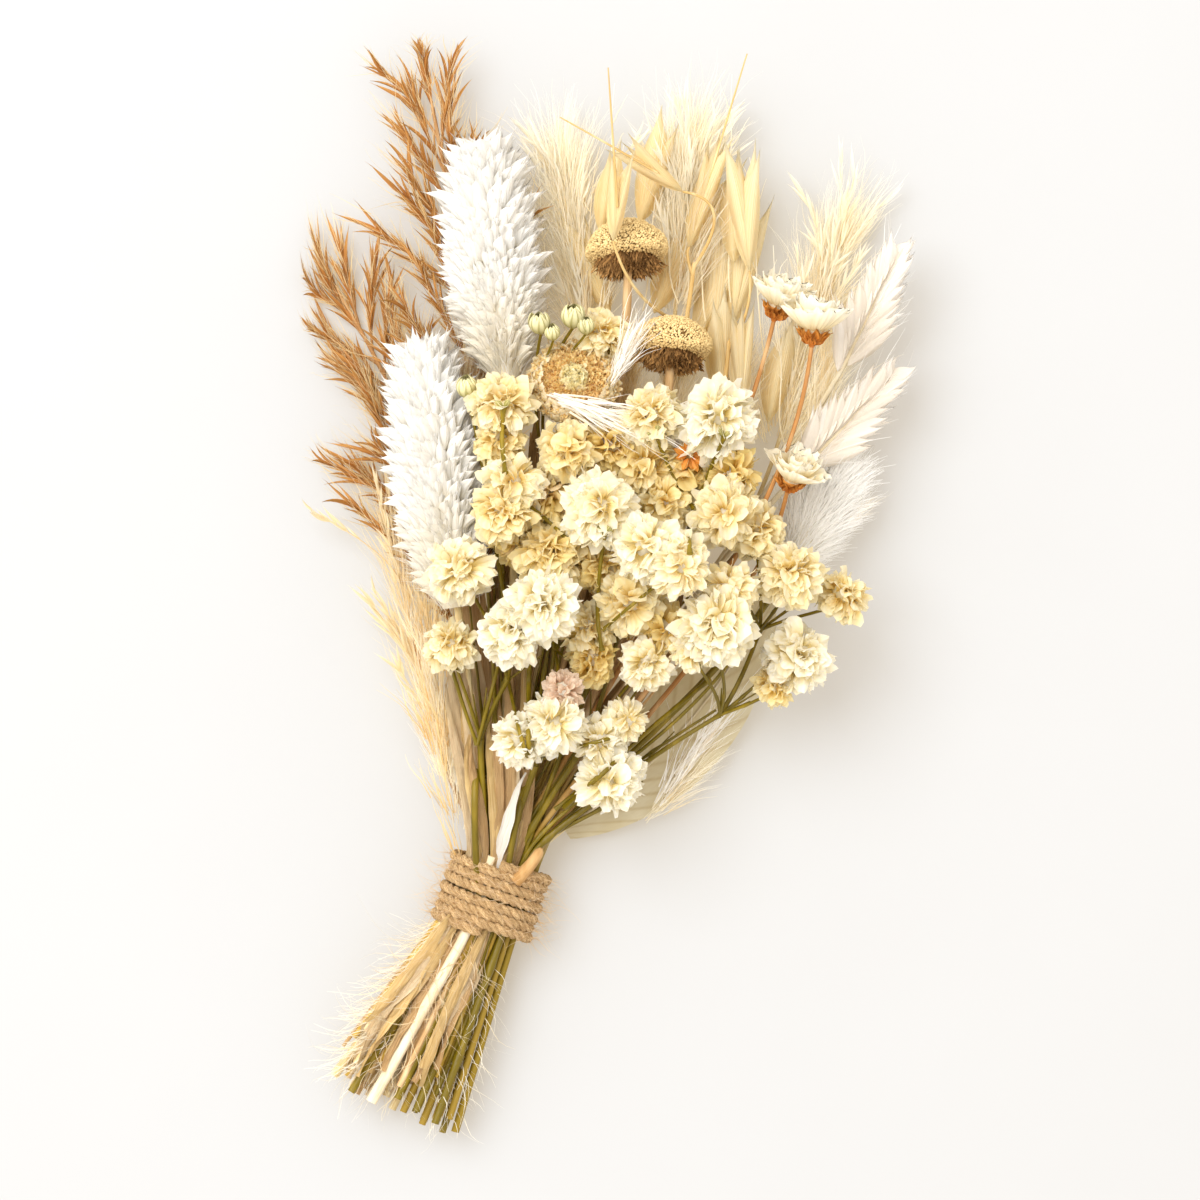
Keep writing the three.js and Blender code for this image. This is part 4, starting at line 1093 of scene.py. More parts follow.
# Oats: slot, foot, arrive, and spikelets with where they leave the stem, foot, tip, way over and awn.
OATS = {
    "oats_left": ((1, 0), vec(41, 128, 12.4), vec(0.1, 1, 0.12), (
        (0.93, vec(24.6, 131, 31), vec(27, 150, 32), vec(28, 118, 34), vec(23.6, 165, 34)),
        (0.995, vec(38.6, 141.5, 22), vec(24, 152, 24), vec(50, 140, 18), vec(14, 156, 26)),
        (0.985, vec(40, 131, 12), vec(47, 156, 13), vec(39, 130, 13), vec(51.6, 170, 14)),
    )),
    "oats_right": ((0.5, -1), vec(48, 112, 13), vec(0.05, 1, 0.1), (
        (0.9, vec(50.6, 98, 15), vec(49.6, 121, 18), vec(49, 96, 14), None),
        (0.99, vec(48.6, 115, 8.6), vec(53.6, 146, 7.6), vec(48, 113, 12), None),
        (0.99, vec(52, 126, 17), vec(51, 154, 19), vec(53, 118, 16), None),
    )),
}
EARS = {
    "ear_high": ((1.5, -1), vec(70.5, 106, 15), vec(84, 134, 15), vec(0.55, 1, 0.25)),
    "ear_low": ((3, 0), vec(62.5, 86, 17), vec(84, 108.5, 14), vec(0.7, 0.7, 0.1)),
}
LEAF_SLOT, LEAF_FOOT, LEAF_TIP, LEAF_HALF = (2, -2), vec(16, 15, 4.6), vec(57, 62, 5), 9.5


# ---------------------------------------------------------------- settings
def number(label, about, default, low=0.0, high=100000.0):
    return bpy.props.FloatProperty(name=label, description=about, default=default, min=low, max=high)


def amount(label, about, default):
    return bpy.props.IntProperty(name=label, description=about, default=default, min=1, max=20000)


def colour_of(label, about, default):
    return bpy.props.FloatVectorProperty(
        name=label, description=about, default=default, subtype="COLOR", size=3, min=0.0, max=1.0
    )


class BunchSizes(bpy.types.PropertyGroup):
    """How full and how long the parts of the bunch are."""

    glumes: amount("Glumes", "Scales on each canary grass head", 1250)
    petals: amount("Petals", "Petals on a bloom of 5.5 mm radius", 130)
    plume_hairs: amount("Plume hairs", "Fine hairs on each plume", 1800)
    reed_branches: amount("Reed branches", "Side branches on each reed panicle", 28)
    tail_hairs: amount("Tail hairs", "Hairs on the bunny tail", 3200)
    stubble: amount("Stubble", "Florets on each seed head", 2600)
    glume_length: bpy.props.FloatProperty(
        name="Glume length", description="Length of a scale of a canary grass head", default=0.0072,
        unit="LENGTH",
    )
    twine_radius: bpy.props.FloatProperty(
        name="Twine radius", description="Half the thickness of the twine", default=0.00106, unit="LENGTH"
    )


class BunchColours(bpy.types.PropertyGroup):
    """The main colour of each kind of flower, grass and stem."""

    canary: colour_of("Canary grass", "Tips of the scales on the two bleached heads", (0.99, 0.98, 0.95))
    petal: colour_of("Petals", "Edges of the cream blooms", (0.985, 0.91, 0.63))
    # The petal hearts are partly the blooms' own gold and partly painted shade deep in each bloom.
    petal_heart: colour_of("Petal hearts", "Feet of the petals of the cream blooms", (0.9, 0.66, 0.15))
    daisy: colour_of("Daisies", "Edges of the daisy petals", (0.98, 0.94, 0.81))
    calyx: colour_of("Calyx", "Tips of the rusty bracts below the daisies", (0.82, 0.4, 0.08))
    plume: colour_of("Pale plumes", "Tips of the fine plume hairs", (0.995, 0.96, 0.85))
    tan_plume: colour_of("Tan plume", "Tips of the hairs of the plume on the left", (0.97, 0.88, 0.65))
    reed: colour_of("Reeds", "Edges of the reed spikelets", (0.84, 0.49, 0.16))
    oat: colour_of("Oats", "Body of the oat husks", (0.985, 0.87, 0.54))
    ear: colour_of("Ears", "Edges of the bleached husks", (0.98, 0.97, 0.955))
    tail: colour_of("Bunny tail", "Tips of the white hairs", (0.995, 0.99, 0.975))
    seed: colour_of("Seed heads", "Tips of the florets", (0.86, 0.69, 0.36))
    olive: colour_of("Olive stems", "Streaks of the green stems", (0.195, 0.14, 0.004))
    straw: colour_of("Straw", "Light streaks of the straw blades", (0.97, 0.86, 0.62))
    leaf: colour_of("Leaf", "Light patches of the pale leaf", (0.82, 0.76, 0.57))
    twine: colour_of("Twine", "Light fibres of the jute", (0.97, 0.73, 0.41))


class BunchLight(bpy.types.PropertyGroup):
    """The stage that the bunch lies on."""

    key: number("Key light", "Power of the soft light from the upper left, in watts", 11.1)
    sky: number("Sky", "Strength of the light from all round", 1.26)
    glow: number("Glow", "Light that comes through the surface itself", 0.34)
    floor: colour_of("Floor", "Colour of the surface", (0.34, 0.384, 0.443))


class BunchSettings(bpy.types.PropertyGroup):
    """All settings of the bunch."""

    sizes: bpy.props.PointerProperty(type=BunchSizes)
    colours: bpy.props.PointerProperty(type=BunchColours)
    light: bpy.props.PointerProperty(type=BunchLight)


class Maker:
    """What the operators of the bunch share."""

    bl_options = {"REGISTER", "UNDO"}

    def execute(self, context):
        self.build(context.scene.dried_bunch)
        return {"FINISHED"}


# ---------------------------------------------------------------- stage
KEY_PLACE, KEY_SIZE, LIT_PLACE = (-0.4, 0.4, 0.96), 0.85, (0.02, 0.06, 0.0)
CAMERA_PLACE, LENS = (0.022, 0.06, 1.02), 150
ROOM_LIGHT = (1.0, 0.955, 0.905, 1)
FLOOR_HALF = 3


class BUNCH_OT_stage(Maker, bpy.types.Operator):
    """Lay out the floor, the lights and the camera over the bunch"""

    bl_idname = "bunch.stage"
    bl_label = "Stage"

    def build(self, settings):
        light = settings.light
        scene = bpy.context.scene
        FINISHES.clear()
        floor = mesh_of(
            "floor", [(x * FLOOR_HALF, y * FLOOR_HALF, 0) for x, y in ((-1, -1), (1, -1), (1, 1), (-1, 1))],
            [(0, 1, 2, 3)],
        )
        f = Finish("warm white surface")
        grain = f.noise(f.place(), 0.02, 3.0)
        shade = f.tint(grain.between(0.3, 0.7), tuple(light.floor), tuple(c * 0.985 for c in light.floor))
        floor.materials.append(f.close(shade, 0.9, gloss=0.1, glow=light.glow))
        put_object("floor", floor)

        world = bpy.data.worlds.new("soft room")
        scene.world = world
        world.use_nodes = True
        room = world.node_tree.nodes["Background"].inputs
        room[0].default_value, room[1].default_value = ROOM_LIGHT, light.sky
        lamp = bpy.data.lights.new("key", "AREA")
        lamp.shape, lamp.size, lamp.energy = "DISK", KEY_SIZE, light.key
        lamp.color = (1.0, 1.0, 0.99)
        key = bpy.data.objects.new("key", lamp)
        key.location = KEY_PLACE
        aim = unit(vec(*LIT_PLACE) - vec(*key.location))
        side, up = sides_of(aim)
        key.rotation_euler = Matrix((side, up, -aim)).transposed().to_euler()
        scene.collection.objects.link(key)

        eye = bpy.data.cameras.new("camera")
        eye.lens, eye.sensor_width, eye.clip_start, eye.clip_end = LENS, 36, 0.01, 20
        camera = bpy.data.objects.new("camera", eye)
        camera.location = CAMERA_PLACE
        scene.collection.objects.link(camera)
        scene.camera = camera
        scene.view_settings.view_transform = "Standard"


# ---------------------------------------------------------------- stems
def knots(line, radius, places, swell=0.35, reach=1.1, taper=0.12):
    """A stem's thickness along it, with a swelling at each of some places in millimetres."""
    run = lengths(line)
    thick = radius * (1 - taper * run / run[-1])
    for place in places:
        thick = thick * (1 + swell * np.exp(-(((run - place) / reach) ** 2)))
    return thick


class BUNCH_OT_stems(Maker, bpy.types.Operator):
    """Grow the stems that carry one head each"""

    bl_idname = "bunch.stems"
    bl_label = "Head stems"

    def build(self, settings):
        for i, (name, (slot, foot, tip, arrive, radius, kind)) in enumerate(HEAD_STEMS.items()):
            way = unit(tip - foot)
            line = route(slot, foot, way if arrive is None else arrive, steps=44)
            line = np.concatenate([line, foot + np.outer([0.8, 1.8], way)])
            thick = knots(line, radius, (18 + 3 * i, 96 + 4 * i))
            thick = thick * (1 + 0.05 * np.sin(lengths(line) * 0.7 + i))
            keep(f"{name}_stem", [tubes(name, [line], [thick], finish(kind), 14, [0.6])])


# ---------------------------------------------------------------- canary grass
class BUNCH_OT_canary_heads(Maker, bpy.types.Operator):
    """Cover the two canary grass heads with close, pointed white scales"""

    bl_idname = "bunch.canary_heads"
    bl_label = "Canary grass heads"

    def build(self, settings):
        sizes = settings.sizes
        for seed, name in ((21, "canary_low"), (22, "canary_high")):
            random = np.random.default_rng(seed)
            _, foot, tip = HEAD_STEMS[name][:3]
            way, length = way_to(foot, tip)
            count = sizes.glumes
            k = np.arange(count) + random.uniform(-0.3, 0.3, count)
            share = np.clip(k / count, 0.004, 1) ** 0.93
            turn = k * GOLDEN + random.normal(0, 0.05, count)
            belly = np.sin(mix(0.3, 2.86, share)) ** 0.62
            round_way = around(way, turn)
            core = foot + np.outer((length - 8) * share + 1.2, way) + round_way * (7.0 * belly)[:, None]
            open_out = mix(0.7, 0.16, share**1.6)[:, None] + random.normal(0, 0.15, (count, 1))
            lift = unit(way + round_way * open_out + random.normal(0, 0.13, (count, 3)))
            size = sizes.glume_length / MM * mix(0.8, 1.28, share**1.5) * random.uniform(0.7, 1.25, count)
            size3 = widened(size, random.uniform(0.9, 1.2, count))
            tone = np.clip(random.normal(0.6, 0.25, count), 0, 1)
            scales = crowd(
                name, glume_shapes(), finish("glume"), core, lift, round_way, size3, tone, share, 0.16, seed
            )
            body = self.body(name, foot, way, length)
            wisps = 420
            low = random.uniform(0, 0.25, wisps)
            angle = random.uniform(0, 6.28, wisps)
            ring = around(way, angle)
            at = foot + np.outer(low * length, way) + ring * (6.5 * np.sin(0.5 + low * 4))[:, None]
            hair_way = unit(way * 0.9 + ring * 0.5 + random.normal(0, 0.25, (wisps, 3)))
            hairs = crowd(
                name + "_silk", hair_shapes(0.008, (0.1, 0.3, 0.5)), finish("white_hair"), at, hair_way, ring,
                random.uniform(4, 8, wisps), random.uniform(0.3, 1, wisps), seed=seed,
            )
            keep(name, [scales, body, hairs])

    def body(self, name, foot, way, length):
        """The solid core that the scales grow from."""
        t = np.linspace(0, 1, 16)
        line = foot + np.outer(mix(0.6, length - 7, t), way)
        return tubes(
            name + "_core", [line], [6.4 * np.sin(mix(0.35, 2.95, t)) ** 0.7], finish("glume"), 20, [0.5]
        )


# ---------------------------------------------------------------- reeds
class BUNCH_OT_reeds(Maker, bpy.types.Operator):
    """Grow the two brown reed panicles with their spikelets and fine hairs"""

    bl_idname = "bunch.reeds"
    bl_label = "Reed panicles"

    def build(self, settings):
        for name, (slot, foot, arrive, start, side, seed) in REEDS.items():
            random = np.random.default_rng(seed)
            pull = draw(seed)
            line = route(slot, foot, arrive, steps=60)
            count = settings.sizes.reed_branches
            lines, radii = [line], [mix(0.85, 0.4, share_along(line))]
            at, way, face, size = [], [], [], []
            for i in range(count):
                share = mix(start - 0.04, 0.985, i / (count - 1))
                root, heading = (part[0] for part in point_at(line, share))
                turn = (i % 2 * 2 - 1) * mix(0.1, 0.62, next(pull)) + (side - 1) * 0.4
                across, _ = sides_of(heading)
                goal = unit(heading + across * turn + UP * mix(-0.02, 0.2, next(pull)))
                reach = mix(29, 15, i / count) * random.uniform(0.75, 1.15)
                bend = (
                    across * turn * random.uniform(-0.3, 0.5) * reach
                    + UP * random.uniform(-0.03, 0.12) * reach
                )
                twig = cubic(
                    root, root + goal * reach * 0.35, root + goal * reach * 0.7 + bend * 0.3,
                    root + goal * reach + bend, 14,
                )
                twig[:, 2] = np.maximum(twig[:, 2], 0.5)
                lines.append(twig)
                radii.append(mix(0.32, 0.13, np.linspace(0, 1, len(twig))))
                number = int(mix(30, 18, i / count))
                shares = mix(0.15, 1.0, (np.arange(number) + random.uniform(-0.4, 0.4, number)) / number)
                places, ways = point_at(twig, np.clip(shares, 0.02, 1))
                out, over = sides_of(ways)
                hand = np.where(np.arange(number) % 2, 1.0, -1.0)[:, None]
                lift = random.normal(0.08, 0.24, (number, 1))
                at.append(places)
                way.append(unit(ways + out * hand * random.uniform(0.0, 0.36, (number, 1)) + over * lift))
                face.append(unit(over + out * hand * 0.5))
                size.append(random.uniform(5.5, 12.5, number))
            at, way, face, size = (np.concatenate(part) for part in (at, way, face, size))
            way[:, 2] = np.where(at[:, 2] + way[:, 2] * size < 0.4, np.abs(way[:, 2]) * 0.2, way[:, 2])
            spread = widened(size, random.uniform(0.85, 1.5, len(size)))
            tone = random.uniform(0, 1, len(size))
            stem = tubes(name, lines, radii, finish("reed_stem"), 7, random.uniform(0.2, 0.9, len(lines)))
            grains = crowd(
                name + "_grains", spikelet_shapes(), finish("reed"), at, way, face, spread, tone, tilt=0.12,
                seed=seed,
            )
            again = np.repeat(np.arange(len(at)), 3)
            hair_way = unit(way[again] + random.normal(0, 0.22, (len(again), 3)) * (1, 1, 0.5))
            hair_at = at[again] + way[again] * random.uniform(0, 0.6, (len(again), 1)) * size[again, None]
            hair_way[:, 2] = np.abs(hair_way[:, 2])
            hairs = crowd(
                name + "_hairs", hair_shapes(0.007, (0.05, 0.2, 0.4)), finish("reed_hair"), hair_at, hair_way,
                unit(random.normal(0, 1, (len(again), 3)) + UP * 1.5), random.uniform(5, 10.5, len(again)),
                random.uniform(0.2, 1, len(again)), seed=seed,
            )
            keep(name, [stem, grains, hairs])


# ---------------------------------------------------------------- plumes
def tuft(
    name, foot, tip, radius, material, count, seed, spread=1.0, flat=0.6, long=(13, 26), clumps=80,
    thick=0.0045,
):
    """A soft plume: clumps of fine hairs that leave a middle line and sweep towards the tip."""
    random = np.random.default_rng(seed)
    way, length = way_to(foot, tip)
    out, over = sides_of(way)
    share = random.uniform(0, 1, clumps) ** 0.9
    turn = random.uniform(0, 6.28, clumps)
    leave = (
        np.cos(turn)[:, None] * out + np.sin(turn)[:, None] * over * flat
    ) * random.uniform(0.3, 1, (clumps, 1))
    root = foot + np.outer(share * length * 0.72, way) + leave * radius * 0.35
    heading = unit(way + leave * mix(0.5, 0.3, share)[:, None] * spread * radius / 5.5)
    group = random.integers(0, clumps, count)
    heading = unit(heading[group] + random.normal(0, 0.11, (count, 3)))
    start = (
        root[group] + heading * random.uniform(0, 0.45, (count, 1)) * long[0]
        + random.normal(0, 0.5, (count, 3))
    )
    reach = random.uniform(*long, count) * mix(1.0, 0.75, share[group]) * random.uniform(0.45, 1, count)
    ends = start + heading * reach[:, None]
    short = np.maximum(0.3 - ends[:, 2], 0) / np.maximum(reach, 1)
    heading = unit(heading + UP * short[:, None])
    start[:, 2] = np.maximum(start[:, 2], 0.3)
    face = unit(random.normal(0, 0.7, (count, 3)) + leave[group] * 0.6 + UP * 1.1)
    shapes = hair_shapes(thick, (0.05, 0.16, 0.3, -0.12, 0.42), 0.05, 6)
    tone = np.clip(random.uniform(0, 1, clumps)[group] * 0.6 + random.uniform(0, 0.5, count), 0, 1)
    return crowd(name, shapes, material, start, heading, face, reach, tone, seed=seed)


class BUNCH_OT_plumes(Maker, bpy.types.Operator):
    """Grow the soft plumes behind the flowers"""

    bl_idname = "bunch.plumes"
    bl_label = "Plumes"

    def build(self, settings):
        for seed, (name, (slot, foot, tip, radius, arrive, hair)) in enumerate(PLUMES.items(), 40):
            way = unit(tip - foot)
            line = route(slot, foot + way * 2, way if arrive is None else arrive, steps=40)
            line = np.concatenate([line, foot + np.outer([8, 18, 30], way)])
            thick = mix(0.82, 0.35, share_along(line))
            stem = tubes(
                name, [line], [thick], finish("straw_stem" if hair != "tan_hair" else "reed_stem"), 10
            )
            count = settings.sizes.plume_hairs * (0.24 if hair == "tan_hair" else 1)
            soft = tuft(name + "_hairs", foot, tip, radius * 1.2, finish(hair), int(count), seed)
            keep(
                name, [stem, soft, self.spikes(name, foot, tip, radius, finish(hair), seed)],
            )

    def spikes(self, name, foot, tip, radius, material, seed):
        """Slender spikelets on fine twigs, in loose strands through the plume."""
        random = np.random.default_rng(seed + 300)
        way, length = way_to(foot, tip)
        out, over = sides_of(way)
        lines, radii, at, ways, face = [], [], [], [], []
        for _ in range(22):
            root = foot + way * length * random.uniform(0, 0.62)
            aside = out * random.normal(0, 0.3) + over * random.uniform(-0.02, 0.25)
            goal = (
                root + unit(way + aside) * random.uniform(0.28, 0.42) * length
                + out * random.normal(0, radius * 0.4)
            )
            twig = cubic(root, root + way * 6, mix(root, goal, 0.7) + way * 1.5, goal + aside * 2.5, 14)
            twig[:, 2] = np.maximum(twig[:, 2], 0.6)
            lines.append(twig)
            radii.append(mix(0.15, 0.06, np.linspace(0, 1, 15)))
            places, headings = point_at(twig, np.sort(random.uniform(0.35, 1, 9)))
            at.append(places)
            ways.append(unit(headings + random.normal(0, 0.2, (9, 3)) * (1, 1, 0.5)))
            face.append(np.tile(over, (9, 1)) + random.normal(0, 0.4, (9, 3)))
        at, ways, face = np.concatenate(at), np.concatenate(ways), unit(np.concatenate(face))
        twigs = tubes(name + "_twigs", lines, radii, material, 5, random.uniform(0, 1, len(lines)))
        size = random.uniform(4.5, 8, len(at))
        grains = crowd(
            name + "_spikes", spikelet_shapes(), material, at, ways, face, widened(size, 1.5),
            random.uniform(0.4, 1, len(at)), seed=seed,
        )
        return joined([twigs, grains])


# ---------------------------------------------------------------- oats
EXTRA_HUSKS = {
    "oats_left": [
        (vec(33, 118, 9), vec(45, 145, 9), 0.2), (vec(30, 136, 10), vec(36, 160, 10), -0.15),
        (vec(36, 124, 8), vec(52, 150, 8), 0.1), (vec(24, 118, 8), vec(16, 140, 9), -0.2),
        (vec(22, 134, 12), vec(26.5, 153, 14), 0.1),
    ],
    "oats_right": [
        (vec(56, 96, 9), vec(61, 118, 10), 0.1), (vec(45, 110, 8), vec(47, 141, 7), 0.0),
        (vec(41, 112, 7), vec(55, 140, 9), -0.1), (vec(49, 128, 12), vec(50, 152, 12), 0.05),
        (vec(46.5, 100, 12), vec(46, 124, 14), 0.1),
    ],
}


class BUNCH_OT_oats(Maker, bpy.types.Operator):
    """Grow the oat panicles with their papery husks and awns"""

    bl_idname = "bunch.oats"
    bl_label = "Oats"

    def build(self, settings):
        for seed, (name, (slot, foot, arrive, spikelets)) in enumerate(OATS.items(), 50):
            random = np.random.default_rng(seed)
            line = route(slot, foot, arrive, steps=50)
            lines, radii = [line], [knots(line, 0.8, (30, 90, 140), taper=0.45)]
            at, way, face, size, tone = [], [], [], [], []

            def husk(base, tip, turn, wide=1.0):
                heading, length = way_to(base, tip)
                out, over = sides_of(heading)
                at.append(base)
                way.append(unit(heading + out * turn))
                face.append(unit(over + out * turn * 2))
                size.append((length * wide, length, length))
                tone.append(random.uniform(0.3, 1))

            for leaves, base, tip, over_way, awn in spikelets:
                root = point_at(line, leaves)[0][0]
                t = np.linspace(0, 1, 18)[:, None]
                lines.append((1 - t) ** 2 * root + 2 * t * (1 - t) * over_way + t * t * base)
                radii.append(mix(0.36, 0.26, t[:, 0]))
                for turn, wide in ((0.12, 0.85), (-0.1, 0.8), (0.04, 0.65), (-0.05, 0.7)):
                    husk(base, base + (tip - base) * random.uniform(0.86, 1.0), turn, wide)
                if awn is not None:
                    start = mix(base, tip, 0.35)
                    middle = mix(start, awn, 0.5) + UP * 1.2
                    lines.append(
                        ease(np.concatenate([straight(start, middle, 8)[:-1], straight(middle, awn, 8)]), 8)
                    )
                    radii.append(mix(0.3, 0.14, np.linspace(0, 1, 17)))
            for base, tip, turn in EXTRA_HUSKS[name]:
                husk(base, tip, turn * 0.4, 1.15)
                husk(base + UP * 0.8, mix(base, tip, 0.9), -turn * 0.6, 0.9)
            stem = tubes(name, lines, radii, finish("awn"), 9, random.uniform(0.4, 1, len(lines)))
            papery = crowd(
                name + "_husks", husk_shapes(0.12), finish("oat" if name == "oats_left" else "pale_husk"), at,
                way, face, np.array(size), tone, tilt=0.05, seed=seed,
            )
            keep(name, [stem, papery, self.sprigs(name, random)])

    def sprigs(self, name, random):
        """Thin forked sprigs and bent awns that stand behind the husks."""
        tops = {
            "oats_left": [(18, 128, 152), (24, 140, 164), (31, 138, 160), (36, 140, 163), (12, 130, 150)],
            "oats_right": [(43, 136, 163), (40, 134, 158), (55, 128, 150), (58, 112, 132), (48, 140, 166)],
        }[name]
        lines, radii = [], []
        for x, low, high in tops:
            root = vec(x, low - 20, 9)
            top = vec(x + random.uniform(-4, 4), high, random.uniform(8, 14))
            main = ease(straight(root, top, 16) + random.normal(0, 0.5, (17, 3)), 3)
            lines.append(main)
            radii.append(mix(0.2, 0.07, np.linspace(0, 1, 17)))
            for place in range(5, 15, 2):
                out = unit(
                    vec(random.choice([-1, 1]) * random.uniform(0.25, 0.7), 1, random.uniform(-0.1, 0.3))
                )
                reach = random.uniform(4, 9)
                lines.append(
                    main[place] + np.outer(np.linspace(0, 1, 6), out * reach) + random.normal(0, 0.15, (6, 3))
                )
                radii.append(mix(0.13, 0.05, np.linspace(0, 1, 6)))
        return tubes(
            name + "_sprigs", lines, radii, finish("plume_hair"), 5, random.uniform(0.3, 1, len(lines))
        )


# ---------------------------------------------------------------- ears
class BUNCH_OT_ears(Maker, bpy.types.Operator):
    """Plait the two bleached ears from long pointed husks"""

    bl_idname = "bunch.ears"
    bl_label = "Bleached ears"

    def build(self, settings):
        for seed, (name, (slot, foot, tip, arrive)) in enumerate(EARS.items(), 60):
            random = np.random.default_rng(seed)
            way, length = way_to(foot, tip)
            line = route(slot, foot + way * 2, arrive, steps=44)
            spine = foot + np.outer(np.linspace(2.5, length * 0.8, 12), way)
            line = np.concatenate([line, spine])
            out, over = sides_of(way)
            at, ways, face, size = [], [], [], []
            ranks = 9
            for i in range(ranks):
                t = i / (ranks - 1)
                for hand in (1, -1):
                    for layer, lift in enumerate((0.9, 0.15, -0.7)):
                        open_out = mix(0.52, 0.2, t) * (1.0, 1.2, 1.0)[layer]
                        base = foot + way * (mix(0.5, length - 11, t) + hand * 0.9 + layer * 0.5)
                        at.append(base + out * hand * 0.7 + over * lift * 0.9)
                        ways.append(
                            unit(way + out * hand * open_out + over * lift * 0.22 + random.normal(0, 0.03, 3))
                        )
                        face.append(
                            unit(out * hand * (0.45 + layer * 0.3) + over * (lift + 0.35 * (layer < 2)))
                        )
                        size.append(mix(13, 11, t) * random.uniform(0.92, 1.06) * (1, 0.95, 0.9)[layer])
            size = np.array(size)
            size3 = widened(size, 1.15)
            tone = random.uniform(0.4, 1, len(size))
            husks = crowd(
                name + "_husks", husk_shapes(0.15, 0.9, (-0.25, -0.1, 0.1)), finish("ear"), at, ways, face,
                size3, tone, seed=seed,
            )
            stem = tubes(name, [line], [mix(0.82, 0.5, share_along(line))], finish("ear_stem"), 10)
            some = random.integers(0, len(size), 60)
            awn_way = unit(np.array(ways)[some] + random.normal(0, 0.12, (60, 3)))
            awns = crowd(
                name + "_awns", hair_shapes(0.006), finish("white_hair"), np.array(at)[some], awn_way,
                unit(random.normal(0, 1, (60, 3))), random.uniform(9, 16, 60), random.uniform(0.3, 1, 60),
                seed=seed,
            )
            keep(name, [stem, husks, awns])


# ---------------------------------------------------------------- bunny tail
class BUNCH_OT_bunny_tail(Maker, bpy.types.Operator):
    """Grow the bunny tail from thousands of fine white hairs"""

    bl_idname = "bunch.bunny_tail"
    bl_label = "Bunny tail"

    def build(self, settings):
        random = np.random.default_rng(70)
        _, foot, tip = HEAD_STEMS["bunny"][:3]
        way, length = way_to(foot, tip)
        count = settings.sizes.tail_hairs
        share = random.uniform(0, 1, count) ** 0.85
        turn = random.uniform(0, 6.28, count)
        ring = around(way, turn)
        belly = 4.9 * np.sin(mix(0.35, 2.7, share)) ** 0.75
        at = foot + np.outer(share * (length - 8), way) + ring * (
            belly * random.uniform(0.75, 1, count)
        )[:, None]
        lift = unit(way + ring * mix(0.75, 0.18, share)[:, None] + random.normal(0, 0.15, (count, 3)))
        size = mix(8, 11.5, share) * random.uniform(0.6, 1.1, count)
        hairs = crowd(
            "bunny", hair_shapes(0.011, (-0.14, 0.03, 0.16, 0.3), 0.04), finish("white_hair"), at, lift,
            unit(UP + ring * 0.4 + random.normal(0, 0.3, (count, 3))), size, random.uniform(0.62, 1, count),
            seed=70,
        )
        t = np.linspace(0, 1, 14)
        core = foot + np.outer(mix(0.5, length - 8, t), way)
        body = tubes(
            "bunny_core", [core], [4.8 * np.sin(mix(0.4, 2.9, t)) ** 0.7], finish("glume"), 16, [1.0]
        )
        keep("bunny", [hairs, body, self.wisp()])

    def wisp(self):
        """The small pale tip that shows beside the tail."""
        foot, tip = vec(68, 72, 8), vec(76, 80.5, 7.5)
        return tuft("bunny_wisp", foot, tip, 2.0, finish("white_hair"), 500, 71, 1.0, 0.9, (5, 9), 14, 0.009)


